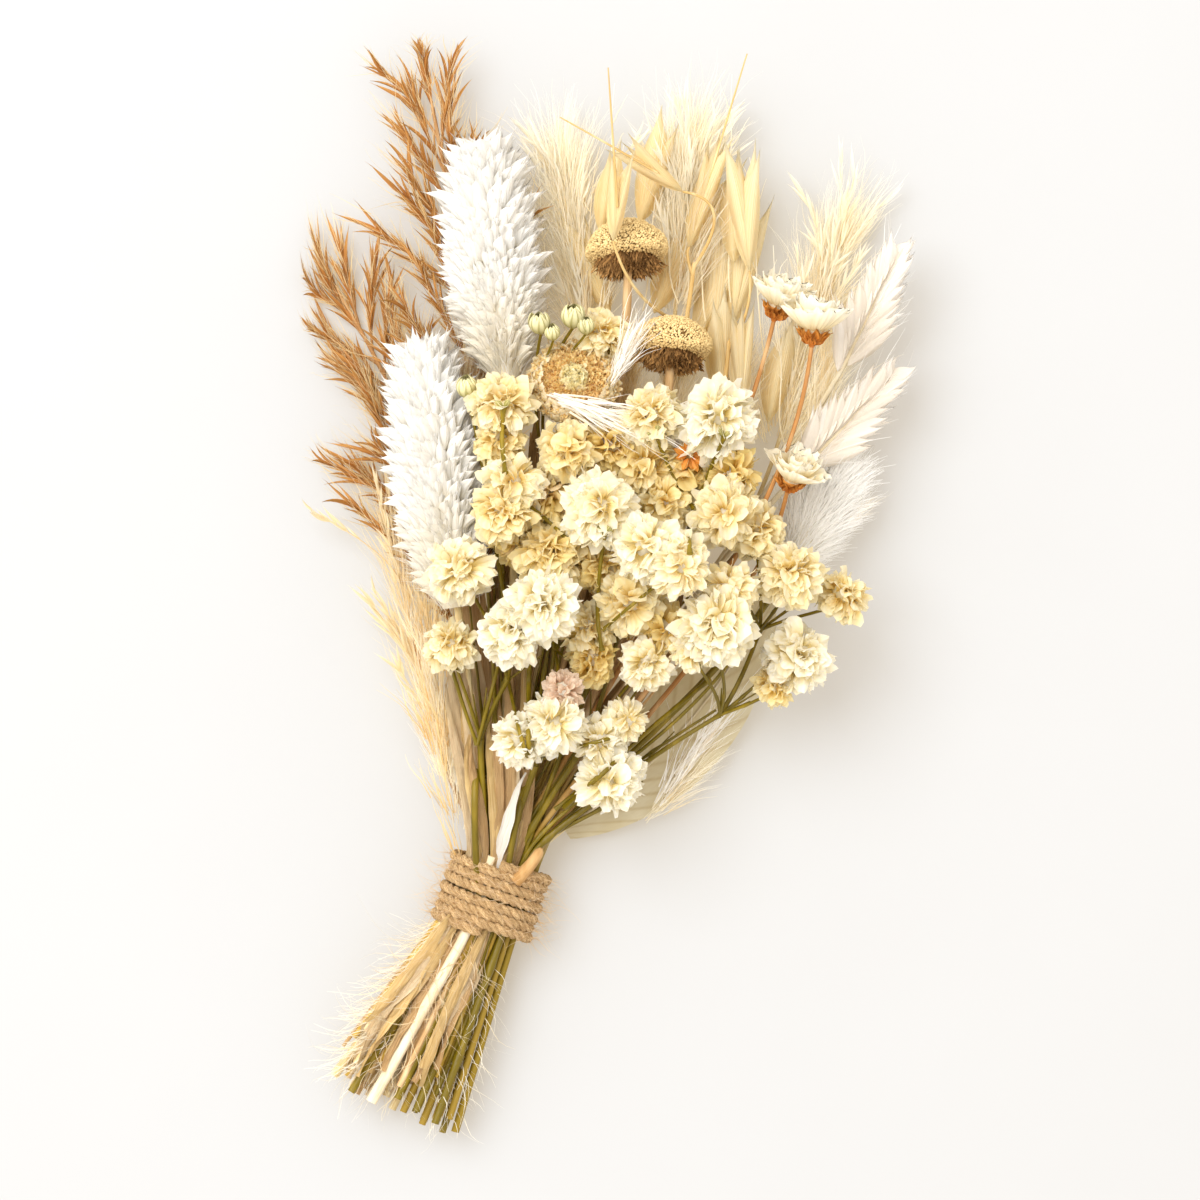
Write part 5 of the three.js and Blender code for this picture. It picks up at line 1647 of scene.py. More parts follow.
# ---------------------------------------------------------------- blades and leaf
class BUNCH_OT_blades(Maker, bpy.types.Operator):
    """Cut the fibrous straw blades, the white twisted blade and the pale leaf"""

    bl_idname = "bunch.blades"
    bl_label = "Blades and leaf"

    def build(self, settings):
        self.straw()
        self.white()
        self.leaf()

    def straw(self):
        """Long fibrous blades beside the stems."""
        random = np.random.default_rng(80)
        parts = []
        goals = (
            (vec(-5.6, 58, 7.4), vec(-0.12, 1, 0.02), 2.9), (vec(3.4, 66, 8.6), vec(0.08, 1, 0.04), 3.2),
            (vec(-9.5, 50, 9), vec(-0.25, 1, 0.02), 1.5), (vec(-1.5, 62, 10), vec(0.0, 1, 0.05), 1.8),
            (vec(6.5, 58, 11), vec(0.12, 1, 0.05), 1.7), (vec(-3, 54, 11.5), vec(-0.1, 1, 0.06), 1.5),
            (vec(8, 50, 12), vec(0.16, 1, 0.06), 1.4), (vec(-12, 44, 8), vec(-0.3, 1, 0.02), 1.3),
        )
        for i, (foot, arrive, half) in enumerate(goals):
            slot = (-1.5 + 0.25 * (i % 3 - 1), -1 + 0.45 * (i // 2))
            line = route(slot, foot, arrive, steps=44)
            line = line + np.cumsum(random.normal(0, 0.04, line.shape), 0) * (0.6, 0.1, 0.4)

            def width(t, half=half):
                open_out = min(1, max(0, (t - 0.42) / 0.14))
                close = min(1, max(0, (1 - t) / 0.16)) ** 0.8
                return mix(0.75, half * close + 0.12, open_out)

            kind = finish(("tan_blade", "gold_blade", "straw_blade")[i % 3])
            parts.append(
                ribbon(
                    f"blade_{i}", line, width, kind, 10, 0.25, random.uniform(-0.7, 0.7), ripple=0.22,
                    tone=random.uniform(0, 1), seed=i,
                )
            )
        keep("straw_blades", parts)

    def white(self):
        """The twisted white blade on its stalk."""
        line = route((-1, 2.6), vec(7, 25.6, 20.4), vec(0.7, 1, 0.1), 0.25, 40)

        def width(t):
            bulge = math.sin(min(1, max(0, (t - 0.6) / 0.4)) * math.pi) ** 0.8
            return 0.35 + 1.6 * bulge

        blade = ribbon("white_blade", line, width, finish("white_blade"), 8, 0.9, 1.5, ripple=0.2, seed=5)
        stem_line = line[:22] + UP * 0.2
        stem = tubes(
            "white_stalk", [stem_line], [knots(stem_line, 1.15, (9,), 0.12)], finish("white_stem"), 14, [1.0]
        )
        keep("white_blade", [stem, blade])

    def leaf(self):
        """The broad pale leaf on its stem."""
        t = np.linspace(0, 1, 64)[:, None]
        start = LEAF_FOOT - vec(0.7, 0.7, 0) * 2
        spine = (1 - t) ** 2 * start + 2 * t * (1 - t) * vec(42, 30, 5.4) + t * t * LEAF_TIP
        spine[:, 2] += 1.2 * np.sin(t[:, 0] * 5)

        def width(s):
            return max(0.3, LEAF_HALF * math.sin(math.pi * min(1, 0.05 + s * 0.95)) ** 0.7)

        broad = ribbon("leaf", spine, width, finish("leaf"), 26, 0.12, 0.25, ripple=0.35, seed=8)
        rib = tubes("leaf_rib", [spine + UP * 0.15], [mix(0.45, 0.12, t[:, 0])], finish("white_stem"), 8)
        line = route(LEAF_SLOT, LEAF_FOOT, vec(0.8, 0.7, 0), steps=30)
        stem = tubes("leaf_stem", [line], [np.full(len(line), 0.72)], finish("straw_stem"), 10)
        keep("pale_leaf", [stem, broad, rib])


# ---------------------------------------------------------------- seed heads and button
class BUNCH_OT_seed_heads(Maker, bpy.types.Operator):
    """Build the two domed seed heads: stubble above, a brown ragged fringe below"""

    bl_idname = "bunch.seed_heads"
    bl_label = "Seed heads"

    def build(self, settings):
        for seed, name, radius, height in ((90, "dome_high", 7.6, 10.0), (91, "dome_low", 7.3, 9.4)):
            random = np.random.default_rng(seed)
            _, foot, tip = HEAD_STEMS[name][:3]
            way = unit(tip - foot)
            base = foot + way * SEAT
            count = settings.sizes.stubble
            k = np.arange(count) + 0.5
            angle = np.arcsin(mix(-0.62, 1.0, k / count))
            turn = k * GOLDEN
            round_way = around(way, turn)
            lumps = 1 + 0.04 * np.sin(turn * 3 + angle * 4)
            rise = 3.3 + np.where(angle > 0, height - 4.4, 2.6) * np.sin(angle)
            at = base + np.outer(rise, way) + round_way * (radius * 0.95 * np.cos(angle) * lumps)[:, None]
            out = unit(
                round_way * np.cos(angle)[:, None] * 1.2 + way * np.sin(angle)[:, None]
                + random.normal(0, 0.14, (count, 3))
            )
            bald = random.uniform(0, 1, count) < 0.035
            size = np.where(bald, 0.5, random.uniform(0.8, 1.15, count))
            tone = np.where(bald, 0.0, random.uniform(0.35, 1, count) * np.clip((angle + 0.75) * 1.4, 0.1, 1))
            pegs = crowd(
                name, self.pegs(), finish("seed"), at, out, unit(random.normal(0, 1, (count, 3))), size, tone,
                seed=seed,
            )
            curve = np.linspace(-0.65, 1.5, 16)
            line = base + np.outer(3.3 + np.where(curve > 0, height - 4.6, 2.5) * np.sin(curve), way)
            body = tubes(
                name + "_body", [line], [np.maximum(0.4, radius * 0.92 * np.cos(curve))], finish("seed"), 26,
                [0.2],
            )
            cone = base + np.outer(np.linspace(-0.6, 2.2, 8), way)
            under = tubes(
                name + "_under", [cone], [radius * vec(0.14, 0.2, 0.28, 0.38, 0.5, 0.62, 0.74, 0.8)],
                finish("fringe"), 26, [0.4],
            )
            keep(name, [pegs, body, under, self.fringe(name, base, way, radius, random, seed)])

    def pegs(self):
        """Small blunt florets."""
        shapes = []
        for bulge in (1.0, 1.25, 0.8):
            points, faces, tips = [], [], []
            for i, (y, r) in enumerate(((0, 0.16), (0.55, 0.2 * bulge), (0.9, 0.24 * bulge), (1.0, 0.12))):
                for j in range(5):
                    points.append((r * math.cos(j * FIFTH_TURN), y, r * math.sin(j * FIFTH_TURN)))
                    tips.append(y)
                    if i:
                        a, b = (i - 1) * 5 + j, (i - 1) * 5 + (j + 1) % 5
                        faces.append((a, a + 5, b + 5, b))
            faces.append((19, 18, 17, 16, 15))
            shapes.append((points, faces, tips, [0] * len(points)))
        return shapes

    def fringe(self, name, base, way, radius, random, seed):
        """Ragged scales that hang below the head."""
        count = 2000
        share = random.uniform(0.05, 1, count) ** 0.5
        turn = random.uniform(0, 6.28, count)
        ring = around(way, turn)
        at = base + ring * (radius * 0.84 * share)[:, None] + np.outer(mix(0.2, 1.9, share), way)
        heading = unit(
            -way * 0.8 - ring * mix(0.0, 0.35, share)[:, None] + random.normal(0, 0.32, (count, 3))
        )
        shapes = [
            sheet_shape(lambda t: 0.09 * spindle(t, 0.3), 4, 2, 0.6, bend, 0.06, 1.5, seed=k)
            for k, bend in enumerate((0.4, 0.9, -0.4))
        ]
        size = random.uniform(1.4, 3.6, count)
        return crowd(
            name + "_fringe", shapes, finish("fringe"), at, heading, ring, size, random.uniform(0, 1, count),
            seed=seed,
        )


class BUNCH_OT_button(Maker, bpy.types.Operator):
    """Build the flat button flower from rings of close, speckled bracts"""

    bl_idname = "bunch.button"
    bl_label = "Button flower"

    def build(self, settings):
        random = np.random.default_rng(95)
        _, foot, tip = HEAD_STEMS["button"][:3]
        way, height = way_to(foot, tip)
        base = foot + way * SEAT
        at, heading, face, size, hue = [], [], [], [], []
        rings = 9
        for i in range(rings):
            angle = mix(-1.0, 0.55, i / (rings - 1))
            radius = 9.3 * math.cos(angle) ** 0.7
            number = int(2 * math.pi * radius / 1.5)
            for j in range(number):
                turn = (j + 0.5 * (i % 2)) / number * FULL_TURN + random.normal(0, 0.04)
                ring = around(way, turn)[0]
                at.append(base + way * (height * 0.36 * (1 + math.sin(angle)) + 0.2) + ring * radius * 0.93)
                heading.append(
                    unit(way * 0.9 + ring * mix(0.7, -0.25, i / (rings - 1)) + random.normal(0, 0.07, 3))
                )
                face.append(unit(ring + way * 0.2))
                size.append(random.uniform(2.3, 3.1))
                hue.append(1.0)
        bract = [
            sheet_shape(
                lambda t: 0.36 * math.sin(min(1, 0.25 + t * 0.9) * 2.2) ** 0.6, 5, 4, 0.35, bend, 0.06, 1.5,
                0.1, k,
            ) for k, bend in enumerate((-0.3, -0.7, 0.3))
        ]
        bracts = crowd(
            "button", bract, finish("button"), at, heading, face, size, random.uniform(0, 1, len(at)), hue,
            0.12, 95,
        )
        frills = 1500
        share = np.sqrt((np.arange(frills) + 0.5) / frills)
        turn = np.arange(frills) * GOLDEN + random.normal(0, 0.04, frills)
        ring = around(way, turn)
        rise = height * 0.66 + 0.9 * np.cos(share * 3.14) * 0.3 + 1.3 * np.exp(
            -((share / 0.34) ** 2)
        ) - 1.7 * np.clip(share - 0.72, 0, 1) ** 2 * 12
        centre = share < 0.34
        spot = base + np.outer(rise, way) + ring * (8.9 * share)[:, None]
        lean = np.where(centre, -0.55, 0.25)[:, None]
        up = unit(way + ring * lean + random.normal(0, 0.3, (frills, 3)))
        grow = np.where(centre, random.uniform(1.3, 2.2, frills), random.uniform(0.7, 1.35, frills))
        lace = [
            sheet_shape(lambda t: 0.3 + 0.08 * math.sin(t * 3), 3, 3, 0.4, bend, 0.12, 1.4, 0.3, k)
            for k, bend in enumerate((0.6, -0.5, 1.0))
        ]
        tint = np.where(
            centre, random.uniform(0.0, 0.2, frills),
            np.clip(0.3 + 0.5 * share + random.normal(0, 0.08, frills), 0.28, 0.95),
        )
        top = crowd(
            "button_lace", lace, finish("button"), spot, up, ring + random.normal(0, 0.5, ring.shape), grow,
            random.uniform(0, 1, frills), tint, 0.3, 96,
        )
        bend = np.linspace(-1.2, 1.5, 16)
        line = base + np.outer(height * 0.33 * (1 + np.sin(bend)) + 0.1, way)
        body = tubes("button_body", [line], [8.2 * np.cos(bend) ** 0.7], finish("jute"), 28, [1.0])
        keep("button", [bracts, top, body])


# ---------------------------------------------------------------- daisies
class BUNCH_OT_daisies(Maker, bpy.types.Operator):
    """Grow the papery daisies on their rusty stems"""

    bl_idname = "bunch.daisies"
    bl_label = "Daisies"

    def build(self, settings):
        for seed, (name, (slot, middle, look, radius, arrive)) in enumerate(DAISIES.items(), 100):
            random = np.random.default_rng(seed)
            way = unit(look)
            foot = middle - way * 2.5
            line = route(slot, foot, way + vec(0, 0.6, 0) if arrive is None else arrive, 0.2, 46)
            line = np.concatenate([line, foot + np.outer([0.8, 1.6], way)])
            stem = tubes(name, [line], [mix(0.72, 0.42, share_along(line))], finish("orange_stem"), 12)
            bracts = self.ring(
                name + "_bracts", calyx_shapes(), "calyx", foot, way,
                [(9, 0.8, -0.1, 0.6, 3.2), (9, 1.0, 0.7, 0.8, 3.5), (8, 1.2, 1.4, 1.05, 3.4)], 1.25, random,
                seed,
            )
            knob = tubes(
                name + "_knob", [foot + np.outer(np.linspace(-0.6, 2.8, 8), way)],
                [vec(0.45, 0.7, 1.0, 1.4, 1.7, 1.9, 1.8, 1.2)], finish("calyx"), 16,
            )
            keep(f"daisy_{name}_stem", [stem, bracts, knob])
            rows = [
                (11, 1.7, 0.1, 1.2, radius * 1.08), (9, 1.5, 0.6, 0.85, radius * 1.0),
                (6, 1.0, 1.1, 0.5, radius * 0.8),
            ]
            petals = self.ring(
                name + "_petals", broad_petal_shapes(), "daisy", middle, way, rows, 1.25, random, seed
            )
            heart = tubes(
                name + "_heart", [middle + np.outer(np.linspace(-0.3, 2.4, 7), way)],
                [vec(1.7, 2.0, 2.0, 1.9, 1.6, 1.1, 0.4)], finish("button"), 14,
            )
            keep(f"daisy_{name}", [petals, heart])

    def ring(self, name, shapes, material, middle, way, rows, wide, random, seed):
        """Rings of petals: how many, the ring's radius and height, how far they open, and their length."""
        at, heading, face, size = [], [], [], []
        for number, radius, rise, open_out, length in rows:
            first = random.uniform(0, 6.28)
            for j in range(number):
                turn = first + j / number * FULL_TURN + random.normal(0, 0.06)
                ring = around(way, turn)[0]
                at.append(middle + way * rise + ring * radius)
                tilt = open_out * random.uniform(0.9, 1.1)
                heading.append(unit(way + ring * math.tan(min(tilt, 1.35) * 0.85)))
                face.append(unit(way * 0.8 - ring * 0.6))
                long = length * random.uniform(0.9, 1.06)
                size.append((long * wide, long, long))
        return crowd(
            name, shapes, finish(material), at, heading, face, np.array(size), random.uniform(0, 1, len(at)),
            tilt=0.08, seed=seed,
        )


def calyx_shapes():
    """Sepals and bracts."""
    return [
        sheet_shape(lambda t: 0.22 * spindle(t, 0.35, 1.0), 6, 4, 0.5, bend, 0.02, 1.2, seed=k)
        for k, bend in enumerate((-0.2, -0.5, 0.1))
    ]


# ---------------------------------------------------------------- gypsophila
# Stalks in front of the blooms: from x, y to x, y, and their radius. The first ones, as many as HANGING, stay
# above the flowers, and the others start lower.
HANGING = 8
STALKS = (
    (3, 98, 3.4, 85, 0.5),
    (33, 92.6, 40.6, 78, 0.42),
    (46.4, 92, 40.8, 77.6, 0.42),
    (40.7, 78.4, 39.5, 69, 0.48),
    (7.4, 79, 15.5, 72, 0.4),
    (23, 73, 21.6, 60, 0.42),
    (34, 63.6, 22.5, 54, 0.38),
    (21.6, 60.4, 22.4, 50, 0.45),
    (8, 50, 8.2, 27, 0.55),
    (3, 46, 8.2, 27, 0.42),
    (30, 34, 8.4, 27.4, 0.42),
    (8.2, 27.6, 2.4, -2, 0.7),
    (-9, 52, -2.6, 31, 0.42),
    (2.5, 50, -2.6, 31, 0.42),
    (-2.6, 31.6, -2.2, -2, 0.75),
    (24, 27, 13, 18, 0.42),
    (44, 44, 15, 18.5, 0.5),
)


def fork_way(name):
    """The direction in which a spray passes one of its forks."""
    before, at = FORKS[name]
    return unit(at - (FORKS[before][1] if isinstance(before, str) else in_tie(before, TIE_HALF)))


def facing(fork, middle):
    """A bloom looks away from its fork, and most look partly up."""
    turned_away = (int(middle[0] * 7 + middle[1] * 3)) % 3 == 0
    return unit(unit(middle - FORKS[fork][1]) + (vec(0, 0.5, -0.15) if turned_away else UP * 0.5))


def rooms():
    """The round heads that branches keep clear of, and their radii."""
    spots = [(vec(16.7, 103, 24.5), 9.6), (vec(27.2, 131, 17.5), 8.6), (vec(36.6, 113, 18.7), 8.4)]
    for name in ("canary_low", "canary_high"):
        foot, tip = HEAD_STEMS[name][1:3]
        spots += [(mix(foot, tip, t), 10) for t in (0.1, 0.3, 0.5, 0.7)]
    spots += [(vec(x, y, z), r * BLOOM_SIZE) for _, x, y, z, r, _ in BLOOMS]
    return np.array([s[0] for s in spots]), np.array([s[1] for s in spots])


def rise_above(x, y):
    """The height of the flowers and stems under a place."""
    middles, radii = rooms()
    gap = (middles[:, 0] - x) ** 2 + (middles[:, 1] - y) ** 2
    tops = middles[:, 2] + np.sqrt(np.maximum((radii * 0.9) ** 2 - gap, 0)) - np.where(gap > radii**2, 99, 0)
    bare = mix(TIE_Z + 5.0, 18.6, (y + 2) / 32) if y < 30 else mix(18.6, 23.0, min(y - 30, 30) / 30)
    return max(tops.max(), bare)


def branch(start, leave, end, arrive, own=None, steps=8):
    """A branch that bends round the heads between its ends."""
    middles, radii = rooms()
    if own is not None:
        keep_clear = np.linalg.norm(middles - own, axis=1) > 0.1
        middles, radii = middles[keep_clear], radii[keep_clear]
    reach = np.linalg.norm(end - start)
    line = cubic(start, start + leave * reach * 0.3, end - arrive * reach * 0.3, end, steps)
    for _ in range(40):
        away = line[1:-1, None] - middles[None]
        gap = np.linalg.norm(away, axis=2)
        short = np.maximum(radii + 0.72 - gap, 0) * 0.7
        line[1:-1] += (away / gap[..., None] * short[..., None]).sum(1)
        line[1:-1] += 0.2 * (0.5 * (line[:-2] + line[2:]) - line[1:-1])
    run = np.linspace(0, 1, 18)
    return ease(point_at(line, run)[0], 1)


class BUNCH_OT_blooms(Maker, bpy.types.Operator):
    """Grow the double blooms from crinkled petals and green sepals"""

    bl_idname = "bunch.blooms"
    bl_label = "Blooms"

    def build(self, settings):
        for number, members in enumerate(CLUSTERS, 1):
            petals = {key: [] for key in ("at", "way", "face", "size", "tone", "hue")}
            sepals = {key: [] for key in ("at", "way", "face", "size", "tone")}
            for index in members:
                self.bloom(index, petals, sepals, settings.sizes.petals)
            flowers = self.made(f"bloom_{number}", petal_shapes(), "petal", petals, 0.3, number)
            green = self.made(f"sepal_{number}", calyx_shapes(), "green", sepals, 0.15, number)
            lines = [
                vec(*BLOOMS[k][1:4]) + np.outer(
                    np.linspace(-0.55, 0.5, 7) * BLOOMS[k][4], facing(BLOOMS[k][0], vec(*BLOOMS[k][1:4]))
                ) for k in members
            ]
            radii = [vec(0.12, 0.36, 0.5, 0.54, 0.5, 0.36, 0.12) * BLOOMS[k][4] for k in members]
            hearts = tubes(f"heart_{number}", lines, radii, finish("petal"), 10, [0.5] * len(members))
            keep(f"bloom_{number}", [flowers, green, hearts])

    def made(self, name, shapes, material, lists, tilt, seed):
        """Shapes from lists that hold a part for each bloom."""
        rows = {key: np.concatenate(parts) for key, parts in lists.items()}
        return crowd(name, shapes, finish(material), tilt=tilt, seed=seed, **rows)

    def bloom(self, index, petals, sepals, full):
        """Adds the petals and sepals of one bloom to the lists."""
        fork, x, y, z, radius, hue = BLOOMS[index]
        random = np.random.default_rng(200 + index)
        middle, radius = vec(x, y, z), radius * BLOOM_SIZE
        look = facing(fork, middle)
        count = int(full * (radius / 5.5) ** 1.3)
        ways = turned(ball_points(int(count * 1.12)), look)
        share = (ways @ look)[:, None]
        keep_way = share[:, 0] > -0.82
        ways, share = ways[keep_way], share[keep_way]
        count = len(ways)
        ways = unit(ways + random.normal(0, 0.13, ways.shape))
        lumps = 1 + 0.1 * np.sin(ways @ random.normal(0, 3, 3) + index) + random.normal(0, 0.05, count)
        down = unit(ways * share - look + random.normal(0, 0.45, ways.shape))
        petals["at"].append(middle + ways * (radius * 0.38 * lumps)[:, None] - look * radius * 0.06)
        loose = np.where(share > 0.72, 0.5, 0.17)
        petals["way"].append(unit(ways + random.normal(0, 1, ways.shape) * loose + look * 0.1))
        petals["face"].append(down)
        size = radius * 0.76 * lumps * random.uniform(0.85, 1.15, count)
        petals["size"].append(widened(size, random.uniform(0.8, 1.05, count)))
        petals["tone"].append(random.uniform(0, 1, count))
        petals["hue"].append(
            np.clip(hue + random.normal(0, 0.07, count), 0, 1) if hue < 0.9 else np.full(count, hue)
        )
        number = 5
        turn = np.arange(number) / number * FULL_TURN + random.uniform(0, 6)
        ring = around(look, turn)
        foot = middle - look * radius * 0.86
        sepals["at"].append(foot + ring * 0.25)
        sepals["way"].append(unit(ring * 0.95 + look * 0.75))
        sepals["face"].append(unit(look - ring * 0.6))
        sepals["size"].append(np.full(number, radius * 0.72))
        sepals["tone"].append(random.uniform(0, 1, number))


class BUNCH_OT_sprays(Maker, bpy.types.Operator):
    """Grow the olive stems, forks and buds that carry the blooms"""

    bl_idname = "bunch.sprays"
    bl_label = "Sprays"

    def build(self, settings):
        for seed, side in enumerate(("left", "centre", "inner", "right"), 110):
            random = np.random.default_rng(seed)
            lines, radii, forks = [], [], [name for name in FORKS if name.startswith(side)]
            for name in forks:
                before, at = FORKS[name]
                way = fork_way(name)
                if isinstance(before, str):
                    line = branch(FORKS[before][1], fork_way(before), at, way)
                    lines.append(line)
                    radii.append(knots(line, 0.5, (0, lengths(line)[-1]), 0.45, 0.8))
                else:
                    line = route(before, at, way, steps=26)
                    lines.append(line)
                    radii.append(knots(line, 0.8, (14, 33, 62, lengths(line)[-1]), 0.35, 1.0, 0.2))
            base = FORKS[side + "_low"][0]
            for k, name in enumerate(forks):
                slot = (base[0] + random.uniform(-0.7, 0.7), base[1] + random.uniform(-1.2, 0.4))
                goal = FORKS[name][1] + vec(*random.normal(0, 1.5, 3)) - UP * (1.5 + k)
                line = route(slot, goal, fork_way(name), steps=30)[17:]
                lines.append(line)
                radii.append(knots(line, random.uniform(0.32, 0.5), random.uniform(5, 50, 3), 0.4, 0.9, 0.25))
            for fork, x, y, z, radius, _ in BLOOMS:
                if fork in forks:
                    middle = vec(x, y, z)
                    look = facing(fork, middle)
                    line = branch(FORKS[fork][1], fork_way(fork), middle - look * radius * 0.8, look, middle)
                    lines.append(line)
                    radii.append(knots(line, 0.36, (0, 6), 0.3, 0.6, 0.1))
            buds = {key: [] for key in ("at", "way", "face", "size", "tone")}
            for fork, x, y, z, radius in BUDS:
                if fork not in forks:
                    continue
                middle = vec(x, y, z)
                look = facing(fork, middle)
                foot = middle - look * radius * 0.9
                line = branch(FORKS[fork][1], fork_way(fork), foot, look, middle)
                if fork == "centre_high":
                    line = cubic(FORKS[fork][1], vec(9, 84, 14), vec(7.5, 103, 11), foot, 20)
                lines.append(line)
                radii.append(knots(line, 0.36, (0,), 0.3, 0.6, 0.1))
                for extra, grow in ((vec(0, 0, 0), 1.0), (vec(2.6, -1.8, 0.4), 0.72)):
                    self.bud(middle + extra, look, radius * 1.08 * grow, buds, random)
                    if grow < 1:
                        twig = cubic(
                            line[-6], line[-5] + vec(0.6, 0, 0), middle + extra - look * radius,
                            middle + extra - look * radius * 0.5, 8,
                        )
                        lines.append(twig)
                        radii.append(np.full(len(twig), 0.26))
            self.twigs(side, lines, radii, random)
            if side == "centre":
                self.front(lines, radii, random)
            parts = [
                tubes(
                    "stems_" + side, lines, radii, finish("olive_stem"), 9,
                    random.uniform(0.35, 1, len(lines)),
                )
            ]
            if buds["at"]:
                rows = {key: np.array(values) for key, values in buds.items()}
                shape = [
                    sheet_shape(lambda t: 0.27 * spindle(t, 0.45, 0.75), 9, 5, 0.3, bend, seed=1, rounded=0)
                    for bend in (-2.1, -2.3)
                ]
                parts.append(crowd("buds_" + side, shape, finish("bud"), seed=seed, **rows))
            if side == "centre":
                parts += self.cups(random)
            keep("gypsophila_" + side, parts)

    def front(self, lines, radii, random):
        """Thin stalks that cross in front of the blooms."""
        for k, (x0, y0, x1, y1, radius) in enumerate(STALKS):
            path = mix(vec(x0, y0, 0), vec(x1, y1, 0), np.linspace(0, 1, 18)[:, None])
            bow = np.outer(
                np.sin(np.linspace(0, 3.14, 18)) * random.uniform(-0.8, 0.8), unit(vec(y1 - y0, x0 - x1, 0))
            )
            path = path + bow
            path[:, 2] = [rise_above(x, y) + 0.45 for x, y, _ in path]
            if k >= HANGING:
                path[:, 2] -= 7.5 * np.clip(1 - np.linspace(0, 3.2, 18), 0, 1)
            path = ease(np.maximum(path, ease(path, 8) * (0, 0, 1) + path * (1, 1, 0)), 2)
            lines.append(path)
            radii.append(knots(path, radius, (0, lengths(path)[-1]), 0.5, 0.9, 0.1))

    def cups(self, random):
        """Green cups where the front stalks meet their blooms."""
        at, heading, face, size = [], [], [], []
        for x, y, x1, y1, _ in STALKS[:3] + STALKS[4:7]:
            foot = vec(x, y, rise_above(x, y) + 0.35)
            back = unit(vec(x1 - x, y1 - y, 0))
            for j in range(5):
                turn = j * FIFTH_TURN + random.uniform(-0.2, 0.2)
                ring = unit(
                    math.cos(turn) * unit(np.cross(UP, back)) + math.sin(turn) * unit(UP * 0.8 + back * 0.3)
                )
                at.append(foot)
                heading.append(unit(ring - back * 0.8 - UP * 0.2))
                face.append(UP)
                size.append(random.uniform(2.4, 3.2))
        cups = crowd(
            "cups", calyx_shapes(), finish("green"), at, heading, face, size, random.uniform(0, 1, len(at)),
            seed=117,
        )
        turn = np.arange(11) * GOLDEN
        ring = np.stack([np.cos(turn), np.sin(turn), np.zeros(11)], 1)
        spot = vec(39.8, 88.6, rise_above(39.8, 88.6)) + ring * 0.5
        rusty = crowd(
            "rusty_cup", calyx_shapes(), finish("calyx"), spot, unit(ring + UP * 0.35), UP + ring * 0,
            np.linspace(2.6, 3.8, 11), random.uniform(0.4, 1, 11), seed=118,
        )
        return [cups, rusty]

    def bud(self, middle, look, radius, buds, random):
        """A closed bud: two rounds of cupped sepals."""
        for layer, (number, spread, grow) in enumerate(((5, 2.0, 2.6), (5, 1.6, 2.55))):
            for j in range(number):
                turn = (j + 0.5 * layer) / number * FULL_TURN
                ring = around(look, turn)[0]
                buds["at"].append(middle - look * radius * 0.95 + ring * 0.12)
                buds["way"].append(unit(look + ring * spread))
                buds["face"].append(ring)
                buds["size"].append((radius * grow * 1.1, radius * grow, radius * grow))
                buds["tone"].append(random.uniform(0.3, 1) * (1 if layer == 0 else 1.3))

    def twigs(self, side, lines, radii, random):
        """Thin side twigs near the forks."""
        for name, (_, at) in FORKS.items():
            if not name.startswith(side):
                continue
            for _ in range(3):
                way = unit(fork_way(name) + random.normal(0, 0.5, 3) * (1, 0.6, 0.7))
                reach = random.uniform(5, 11)
                line = cubic(
                    at, at + way * reach * 0.4, at + way * reach * 0.7 + UP * 0.8,
                    at + way * reach + UP * 1.2, 7,
                )
                lines.append(line)
                radii.append(mix(0.26, 0.13, np.linspace(0, 1, len(line))))


# ---------------------------------------------------------------- twine
TWINE_TURNS, TWINE_PITCH, TWINE_STEPS = 7, 2.06, 60
TWINE_WIDE, TWINE_DEEP = 9.38, 7.48  # half the width and half the height of the twine's middle line
PLY_TWIST, PLY_SHIFT, PLY_RADIUS = 5.2, 0.57, 0.56  # millimetres a turn, and shares of the twine's radius


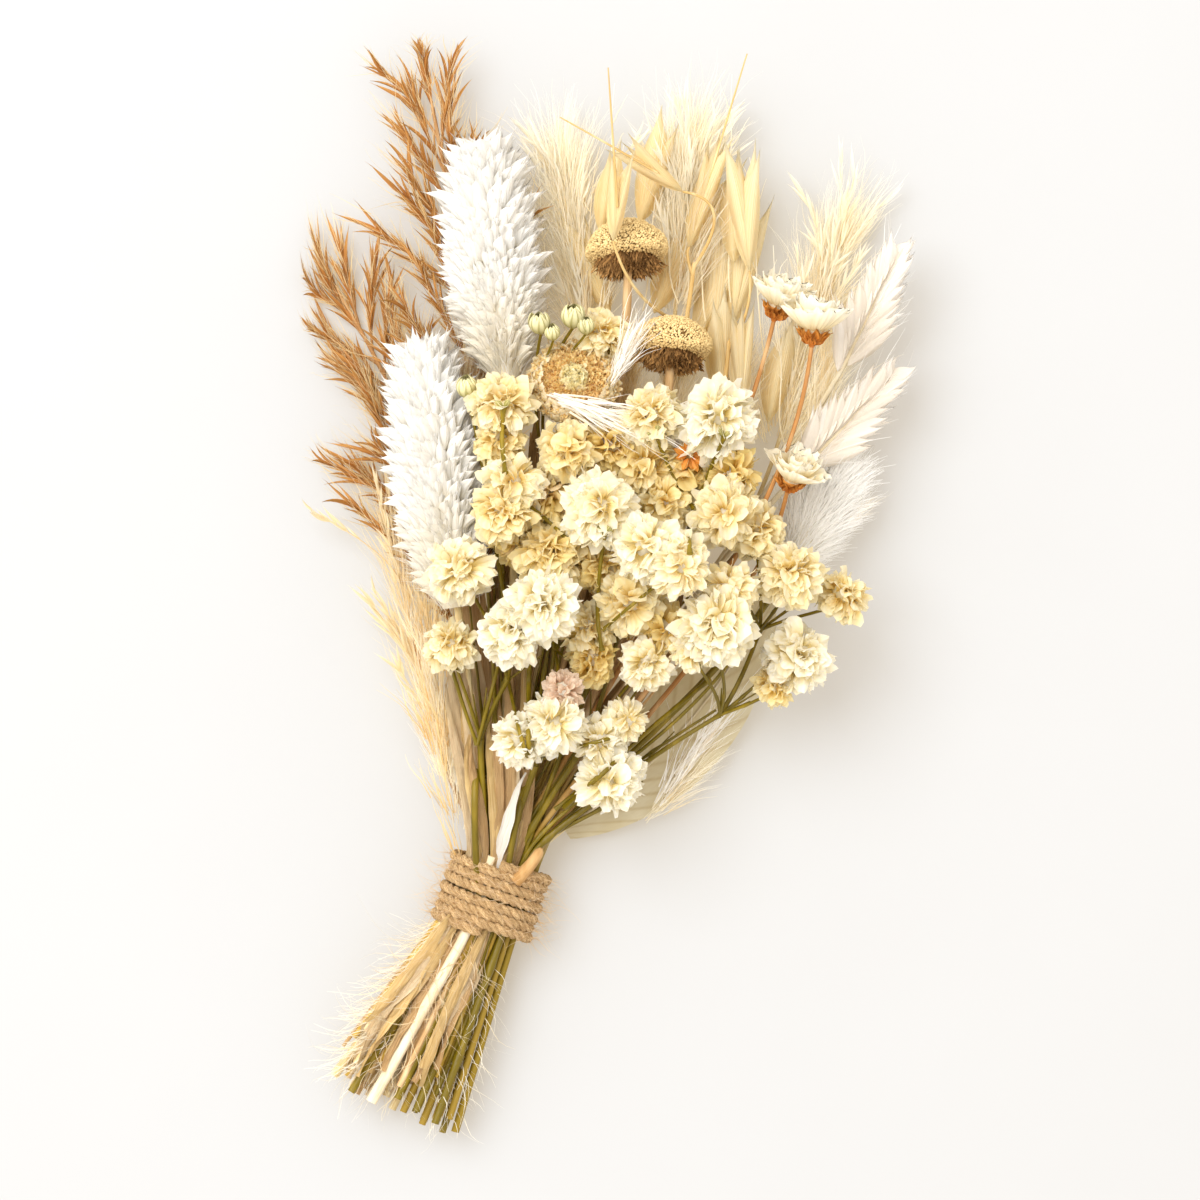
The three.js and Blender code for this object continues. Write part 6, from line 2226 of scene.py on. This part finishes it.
class BUNCH_OT_twine(Maker, bpy.types.Operator):
    """Wind the three-ply twine round the stems"""

    bl_idname = "bunch.twine"
    bl_label = "Twine"

    def build(self, settings):
        random = np.random.default_rng(120)
        radius = settings.sizes.twine_radius / MM
        turns, pitch, steps = TWINE_TURNS, TWINE_PITCH, TWINE_STEPS
        count = turns * steps + 1
        k = np.arange(count)
        angle = -math.pi / 2 - math.pi * turns + k * 2 * math.pi / steps
        shift = (k - count / 2) / steps * pitch + 0.2 * np.sin(angle * 0.19) + 0.06 * np.sin(angle * 0.47 + 1)
        wide = TWINE_WIDE + 0.22 * np.sin(angle * 0.31 + 2)
        deep = TWINE_DEEP + 0.15 * np.sin(angle * 0.41)
        line = vec(0, 0, TIE_Z) + np.outer(wide * np.cos(angle), ACROSS) + np.outer(deep * np.sin(angle), UP)
        line = line + np.outer(shift, AXIS)
        line[:, 2] = np.maximum(line[:, 2], radius + 0.02)
        lines, radii = self.plies(line, radius)
        root = vec(5.0, 3.6, TIE_Z + 6.8)
        tip = vec(10.2, 10.2, TIE_Z + 9.0)
        stub = straight(root, tip, 14) + np.outer(np.sin(np.linspace(0, 3, 15)) * 0.4, ACROSS)
        blunt = mix(1.5, 0.95, np.linspace(0, 1, 15)) * np.sqrt(
            np.clip((1.02 - np.linspace(0, 1, 15)) * 8, 0.02, 1)
        )
        peg = tubes("twine_end", [stub], [blunt], finish("twine_peg"), 14, [0.6])
        jute = tubes("twine", lines, radii, finish("jute"), 10, random.uniform(0.3, 1, len(lines)))
        number = 1000
        some = random.integers(0, count, number)
        ways = tangents(line)[some]
        out = unit(line[some] - (vec(0, 0, TIE_Z) + np.outer(shift[some], AXIS)))
        heading = unit(
            ways * random.choice([-1, 1], (number, 1)) * 0.9 + out * random.uniform(
                0.05, 0.9, (number, 1)
            ) + random.normal(0, 0.3, (number, 3))
        )
        at = line[some] + out * radius * 0.8
        heading[:, 2] = np.where(at[:, 2] < 3, np.abs(heading[:, 2]), heading[:, 2])
        at[:, 2] = np.maximum(at[:, 2], 0.1)
        fuzz = crowd(
            "twine_fuzz", hair_shapes(0.009, (0.2, 0.6, -0.5, 0.9), 0.12, 6), finish("jute_hair"), at,
            heading, unit(random.normal(0, 1, (number, 3)) + UP), random.uniform(1.5, 6.5, number),
            random.uniform(0.2, 1, number), seed=120,
        )
        keep("twine", [jute, fuzz, peg])

    def plies(self, line, radius):
        """Three plies twisted round a line."""
        ways, run = tangents(line), lengths(line)
        normal = unit(np.cross(ways, AXIS))
        other = np.cross(ways, normal)
        lines, radii = [], []
        for k in range(3):
            turn = run / PLY_TWIST * 2 * math.pi + k * THIRD_TURN
            offset = normal * np.cos(turn)[:, None] + other * np.sin(turn)[:, None]
            ply = line + offset * radius * PLY_SHIFT
            ply[:, 2] = np.maximum(ply[:, 2], radius * PLY_RADIUS)
            lines.append(ply)
            radii.append(np.full(len(line), radius * PLY_RADIUS))
        return lines, radii


# ---------------------------------------------------------------- loose fibres
# Blades inside the bunch: all of them, and how many lie deep. The others are finer and stand in front. The
# deep ones are mostly dark brown, which is painted shade in the gaps below the flowers.
INNER_BLADES, DEEP_BLADES = 46, 22


class BUNCH_OT_loose_fibres(Maker, bpy.types.Operator):
    """Lay the loose straws, leaf scraps and fine fibres between the stems"""

    bl_idname = "bunch.loose_fibres"
    bl_label = "Loose fibres"

    def build(self, settings):
        self.straws()
        self.fibres()
        self.silk()

    def straws(self):
        """Short straws and scraps of leaf among the cut ends."""
        random = np.random.default_rng(130)
        parts = []
        kinds = ("yellow_stem", "straw_stem", "olive_stem", "white_stem", "yellow_stem", "tan_stem")
        for kind in dict.fromkeys(kinds):
            lines, radii = [], []
            for i in range(3 if kind in ("olive_stem", "white_stem") else 7):
                slot = (
                    random.uniform(0.6, 2.4) if kind == "olive_stem" else random.uniform(-3.3, 1.6),
                    random.uniform(-1.2, 2.2),
                )
                start, end = in_tie(slot, -TIE_HALF + 4), cut_end(slot)
                end = mix(start, end, random.uniform(0.72, 1.0)) + vec(*random.normal(0, 0.8, 3))
                line = ease(straight(start, end, 18) + random.normal(0, 0.12, (19, 3)), 6)
                line[:, 2] = np.maximum(line[:, 2], 1.1)
                lines.append(line)
                radii.append(knots(line, random.uniform(0.38, 0.8), (random.uniform(5, 35),), 0.25))
            parts.append(
                tubes("straws_" + kind, lines, radii, finish(kind), 9, random.uniform(0.3, 1, len(lines)))
            )
        parts += self.inner(random)
        for i in range(52):
            slot = (random.uniform(-3.4, 1.0), random.uniform(-0.5, 3.4))
            start, end = in_tie(slot, -TIE_HALF + 2), cut_end(slot)
            end = mix(start, end, random.uniform(0.6, 0.98))
            middle = mix(start, end, 0.5) + random.normal(0, 1.0, 3)
            line = cubic(
                start, mix(start, middle, 0.7), mix(end, middle, 0.6), end + random.normal(0, 0.8, 3), 22
            )
            line[:, 2] = np.maximum(line[:, 2], 1.6)
            half = random.uniform(0.5, 1.5)

            def width(t, half=half):
                return 0.3 + half * math.sin(min(1, t * 1.15) * 2.6) ** 0.8 if t < 0.86 else 0.3 + half * 0.42

            kind = ("tan_blade", "straw_blade", "gold_blade", "straw_blade", "gold_blade")[i % 5]
            parts.append(
                ribbon(
                    f"scrap_{i}", line, width, finish(kind), 7, 0.5, random.uniform(-2.2, 2.2), ripple=0.4,
                    tone=random.uniform(0, 1), seed=i,
                )
            )
        keep("loose_straws", parts, loose=True)

    def inner(self, random):
        """Straws and dry blades that fill the bunch below its flowers, in darker colours that are partly
        painted shade in the gaps.
        """
        parts, lines, radii = [], [], []
        for i in range(64):
            slot = (random.uniform(-2.6, 2.6), random.uniform(-1.5, 1.2))
            aside = slot[0] / 2.6 + random.normal(0, 0.25)
            goal = vec(20 + aside * 26, random.uniform(46, 100), random.uniform(6, 15))
            line = route(slot, goal, AXIS + ACROSS * aside * 0.5, steps=24)[17:]
            lines.append(line + np.cumsum(random.normal(0, 0.05, line.shape), 0) * (1, 0.2, 0.5))
            radii.append(mix(random.uniform(0.35, 0.6), 0.2, np.linspace(0, 1, len(line))))
        # The inner straws take the darker olive and tan finishes, as painted shade in the gaps between the
        # flowers.
        for k, kind in enumerate(("olive_stem", "tan_stem")):
            parts.append(
                tubes(
                    "inner_" + kind, lines[k::2], radii[k::2], finish(kind), 7,
                    random.uniform(0.2, 1, len(lines[k::2])),
                )
            )
        for i in range(INNER_BLADES):
            aside = random.uniform(-1, 1)
            foot, goal = vec(4 + aside * 5, 16, 8), vec(
                20 + aside * 30, random.uniform(60, 104), random.uniform(7, 13)
            )
            if i >= DEEP_BLADES:
                aside = random.uniform(-1, 0.8)
                foot = vec(aside * 5.6, 5, 14.2 - 2 * aside * aside)
                goal = vec(aside * 11, random.uniform(30, 56), random.uniform(14, 18.5))
            line = cubic(
                foot,
                foot + AXIS * (18 if i < DEEP_BLADES else 9) + ACROSS * aside * (8 if i < DEEP_BLADES else 1),
                mix(foot, goal, 0.7) + ACROSS * random.normal(0, 2), goal, 26,
            )
            half = random.uniform(1.2, 2.4) * (1 if i < DEEP_BLADES else 0.5)

            def width(t, half=half):
                return 0.2 + half * math.sin(math.pi * min(1, 0.06 + t * 0.94)) ** 0.8

            # The deep blades are mostly dark brown, as painted shade below the flowers; the front ones are
            # lighter.
            kind = finish(
                (
                    ("brown_blade", "brown_blade", "tan_blade") if i < DEEP_BLADES
                    else ("gold_blade", "straw_blade", "tan_blade")
                )[i % 3]
            )
            parts.append(
                ribbon(
                    f"inner_blade_{i}", line, width, kind, 6, 0.3, random.uniform(-1, 1), ripple=0.3,
                    tone=random.uniform(0, 1), seed=50 + i,
                )
            )
        return parts

    def fibres(self):
        """Fine pale fibres round the cut ends and on both sides above the binding."""
        random = np.random.default_rng(131)
        parts = []
        groups = (
            (520, (-3.4, -1.0), (-1.5, 2.4), (0, 34), -1, (6, 13), "plume_hair"),
            (150, (1.4, 2.6), (-1.5, 1.6), (2, 36), 1, (6, 12), "plume_hair"),
            (330, (-3, 0.5), (0, 3.2), (0, 20), 0, (5, 10), "jute_hair"),
            (200, (-3.2, 0.5), (0.5, 3.2), (0, 34), 0, (6, 12), "tan_hair"),
        )
        for i, (count, columns, rows, down, hand, long, kind) in enumerate(groups):
            share = random.uniform(down[0], down[1], count)
            column, row = random.uniform(*columns, count), random.uniform(*rows, count)
            base = vec(0, 0, TIE_Z) - np.outer(share + TIE_HALF, TAIL_AXIS)
            base = base + np.outer(column * mix(2.25, 4.3, share / 44), TAIL_ACROSS) + np.outer(row * 2, UP)
            aside = hand if hand else random.choice([-1, 1], count)
            heading = -TAIL_AXIS * 0.7 + np.outer(
                np.ones(count) * aside * random.uniform(0.1, 0.9, count), TAIL_ACROSS
            )
            heading = unit(heading + random.normal(0, 0.3, (count, 3)) * (1, 1, 0.5))
            heading[:, 2] = np.where(base[:, 2] < 5, np.abs(heading[:, 2]) * 0.3, heading[:, 2])
            base[:, 2] = np.maximum(base[:, 2], 0.6)
            face = unit(random.normal(0, 1, (count, 3)) + UP)
            parts.append(
                crowd(
                    f"fibres_{i}", hair_shapes(0.0095, (0.2, -0.25, 0.5, 0.8), 0.1, 6), finish(kind), base,
                    heading, face, random.uniform(*long, count), random.uniform(0.3, 1, count), seed=131 + i,
                )
            )
        keep("loose_fibres", parts, loose=True)

    def silk(self):
        """Silky strands beside the button flower and pale wisps along the leaf."""
        tufts = (
            (vec(10.5, 101, 32), vec(30, 94, 31), 2.6, 150, "white_hair", (14, 24)),
            (vec(23, 101, 27), vec(29, 113, 27), 2.2, 120, "white_hair", (9, 15)),
            (vec(30, 14, 6), vec(44, 28, 6), 2.6, 240, "pale_hair", (10, 18)),
            (vec(20, 118, 10), vec(12, 104, 12), 3.6, 420, "plume_hair", (10, 18)),
            (vec(64, 90, 8), vec(70, 112, 8), 3.5, 420, "plume_hair", (12, 22)),
            (vec(-12, 60, 6), vec(-16, 84, 6), 2.6, 360, "tan_hair", (10, 20)),
            (vec(-5, 84, 10), vec(-2, 118, 10), 3.2, 700, "tan_hair", (12, 22)),
            (vec(34, 18, 7), vec(48, 40, 7), 2.4, 160, "white_hair", (12, 20)),
            (vec(-5, 6, 9), vec(-13, 42, 10), 4.6, 330, "plume_hair", (9, 17)),
            (vec(-8, 22, 9), vec(-16, 62, 10), 5.0, 300, "plume_hair", (9, 18)),
            (vec(-5, 4, 11), vec(-15, 50, 12), 4.6, 100, "reed_hair", (12, 20)),
            (vec(-8, 30, 11), vec(-15, 74, 12), 4.6, 80, "reed_hair", (12, 20)),
            (vec(24, 84, 8), vec(27, 112, 8), 4.5, 900, "tan_hair", (12, 20)),
            (vec(34, 84, 8), vec(38, 108, 8), 4.5, 700, "plume_hair", (12, 20)),
            (vec(46, 84, 8), vec(50, 108, 8), 4.5, 700, "plume_hair", (12, 20)),
        )
        parts = []
        for i, (foot, tip, radius, count, kind, long) in enumerate(tufts):
            parts.append(
                tuft(
                    f"silk_{i}", foot, tip, radius, finish(kind), count, 140 + i, 0.9, 0.6, long, 14,
                    0.01 if count < 200 else 0.006,
                )
            )
        keep("silky_strands", parts, loose=True)


# ---------------------------------------------------------------- the add-on
MAKERS = (
    BUNCH_OT_stage,
    BUNCH_OT_stems,
    BUNCH_OT_canary_heads,
    BUNCH_OT_reeds,
    BUNCH_OT_plumes,
    BUNCH_OT_oats,
    BUNCH_OT_ears,
    BUNCH_OT_bunny_tail,
    BUNCH_OT_blades,
    BUNCH_OT_seed_heads,
    BUNCH_OT_button,
    BUNCH_OT_daisies,
    BUNCH_OT_blooms,
    BUNCH_OT_sprays,
    BUNCH_OT_twine,
    BUNCH_OT_loose_fibres,
)


class BUNCH_PT_panel(bpy.types.Panel):
    """Everything that the bunch is made of"""

    bl_idname = "BUNCH_PT_panel"
    bl_label = "Dried bunch"
    bl_space_type = "VIEW_3D"
    bl_region_type = "UI"
    bl_category = "Dried bunch"

    def draw(self, context):
        settings = context.scene.dried_bunch
        for group in (settings.sizes, settings.colours, settings.light):
            box = self.layout.box()
            for key in group.bl_rna.properties.keys():
                if key not in ("rna_type", "name"):
                    box.prop(group, key)
        for maker in MAKERS:
            self.layout.operator(maker.bl_idname)


CLASSES = (BunchSizes, BunchColours, BunchLight, BunchSettings, *MAKERS, BUNCH_PT_panel)


def register():
    for one in CLASSES:
        bpy.utils.register_class(one)
    bpy.types.Scene.dried_bunch = bpy.props.PointerProperty(type=BunchSettings)


def unregister():
    del bpy.types.Scene.dried_bunch
    for one in reversed(CLASSES):
        bpy.utils.unregister_class(one)


def main():
    """Registers the add-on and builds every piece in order."""
    register()
    for maker in MAKERS:
        group, name = maker.bl_idname.split(".")
        getattr(getattr(bpy.ops, group), name)()
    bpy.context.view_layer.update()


if __name__ == "__main__":
    main()
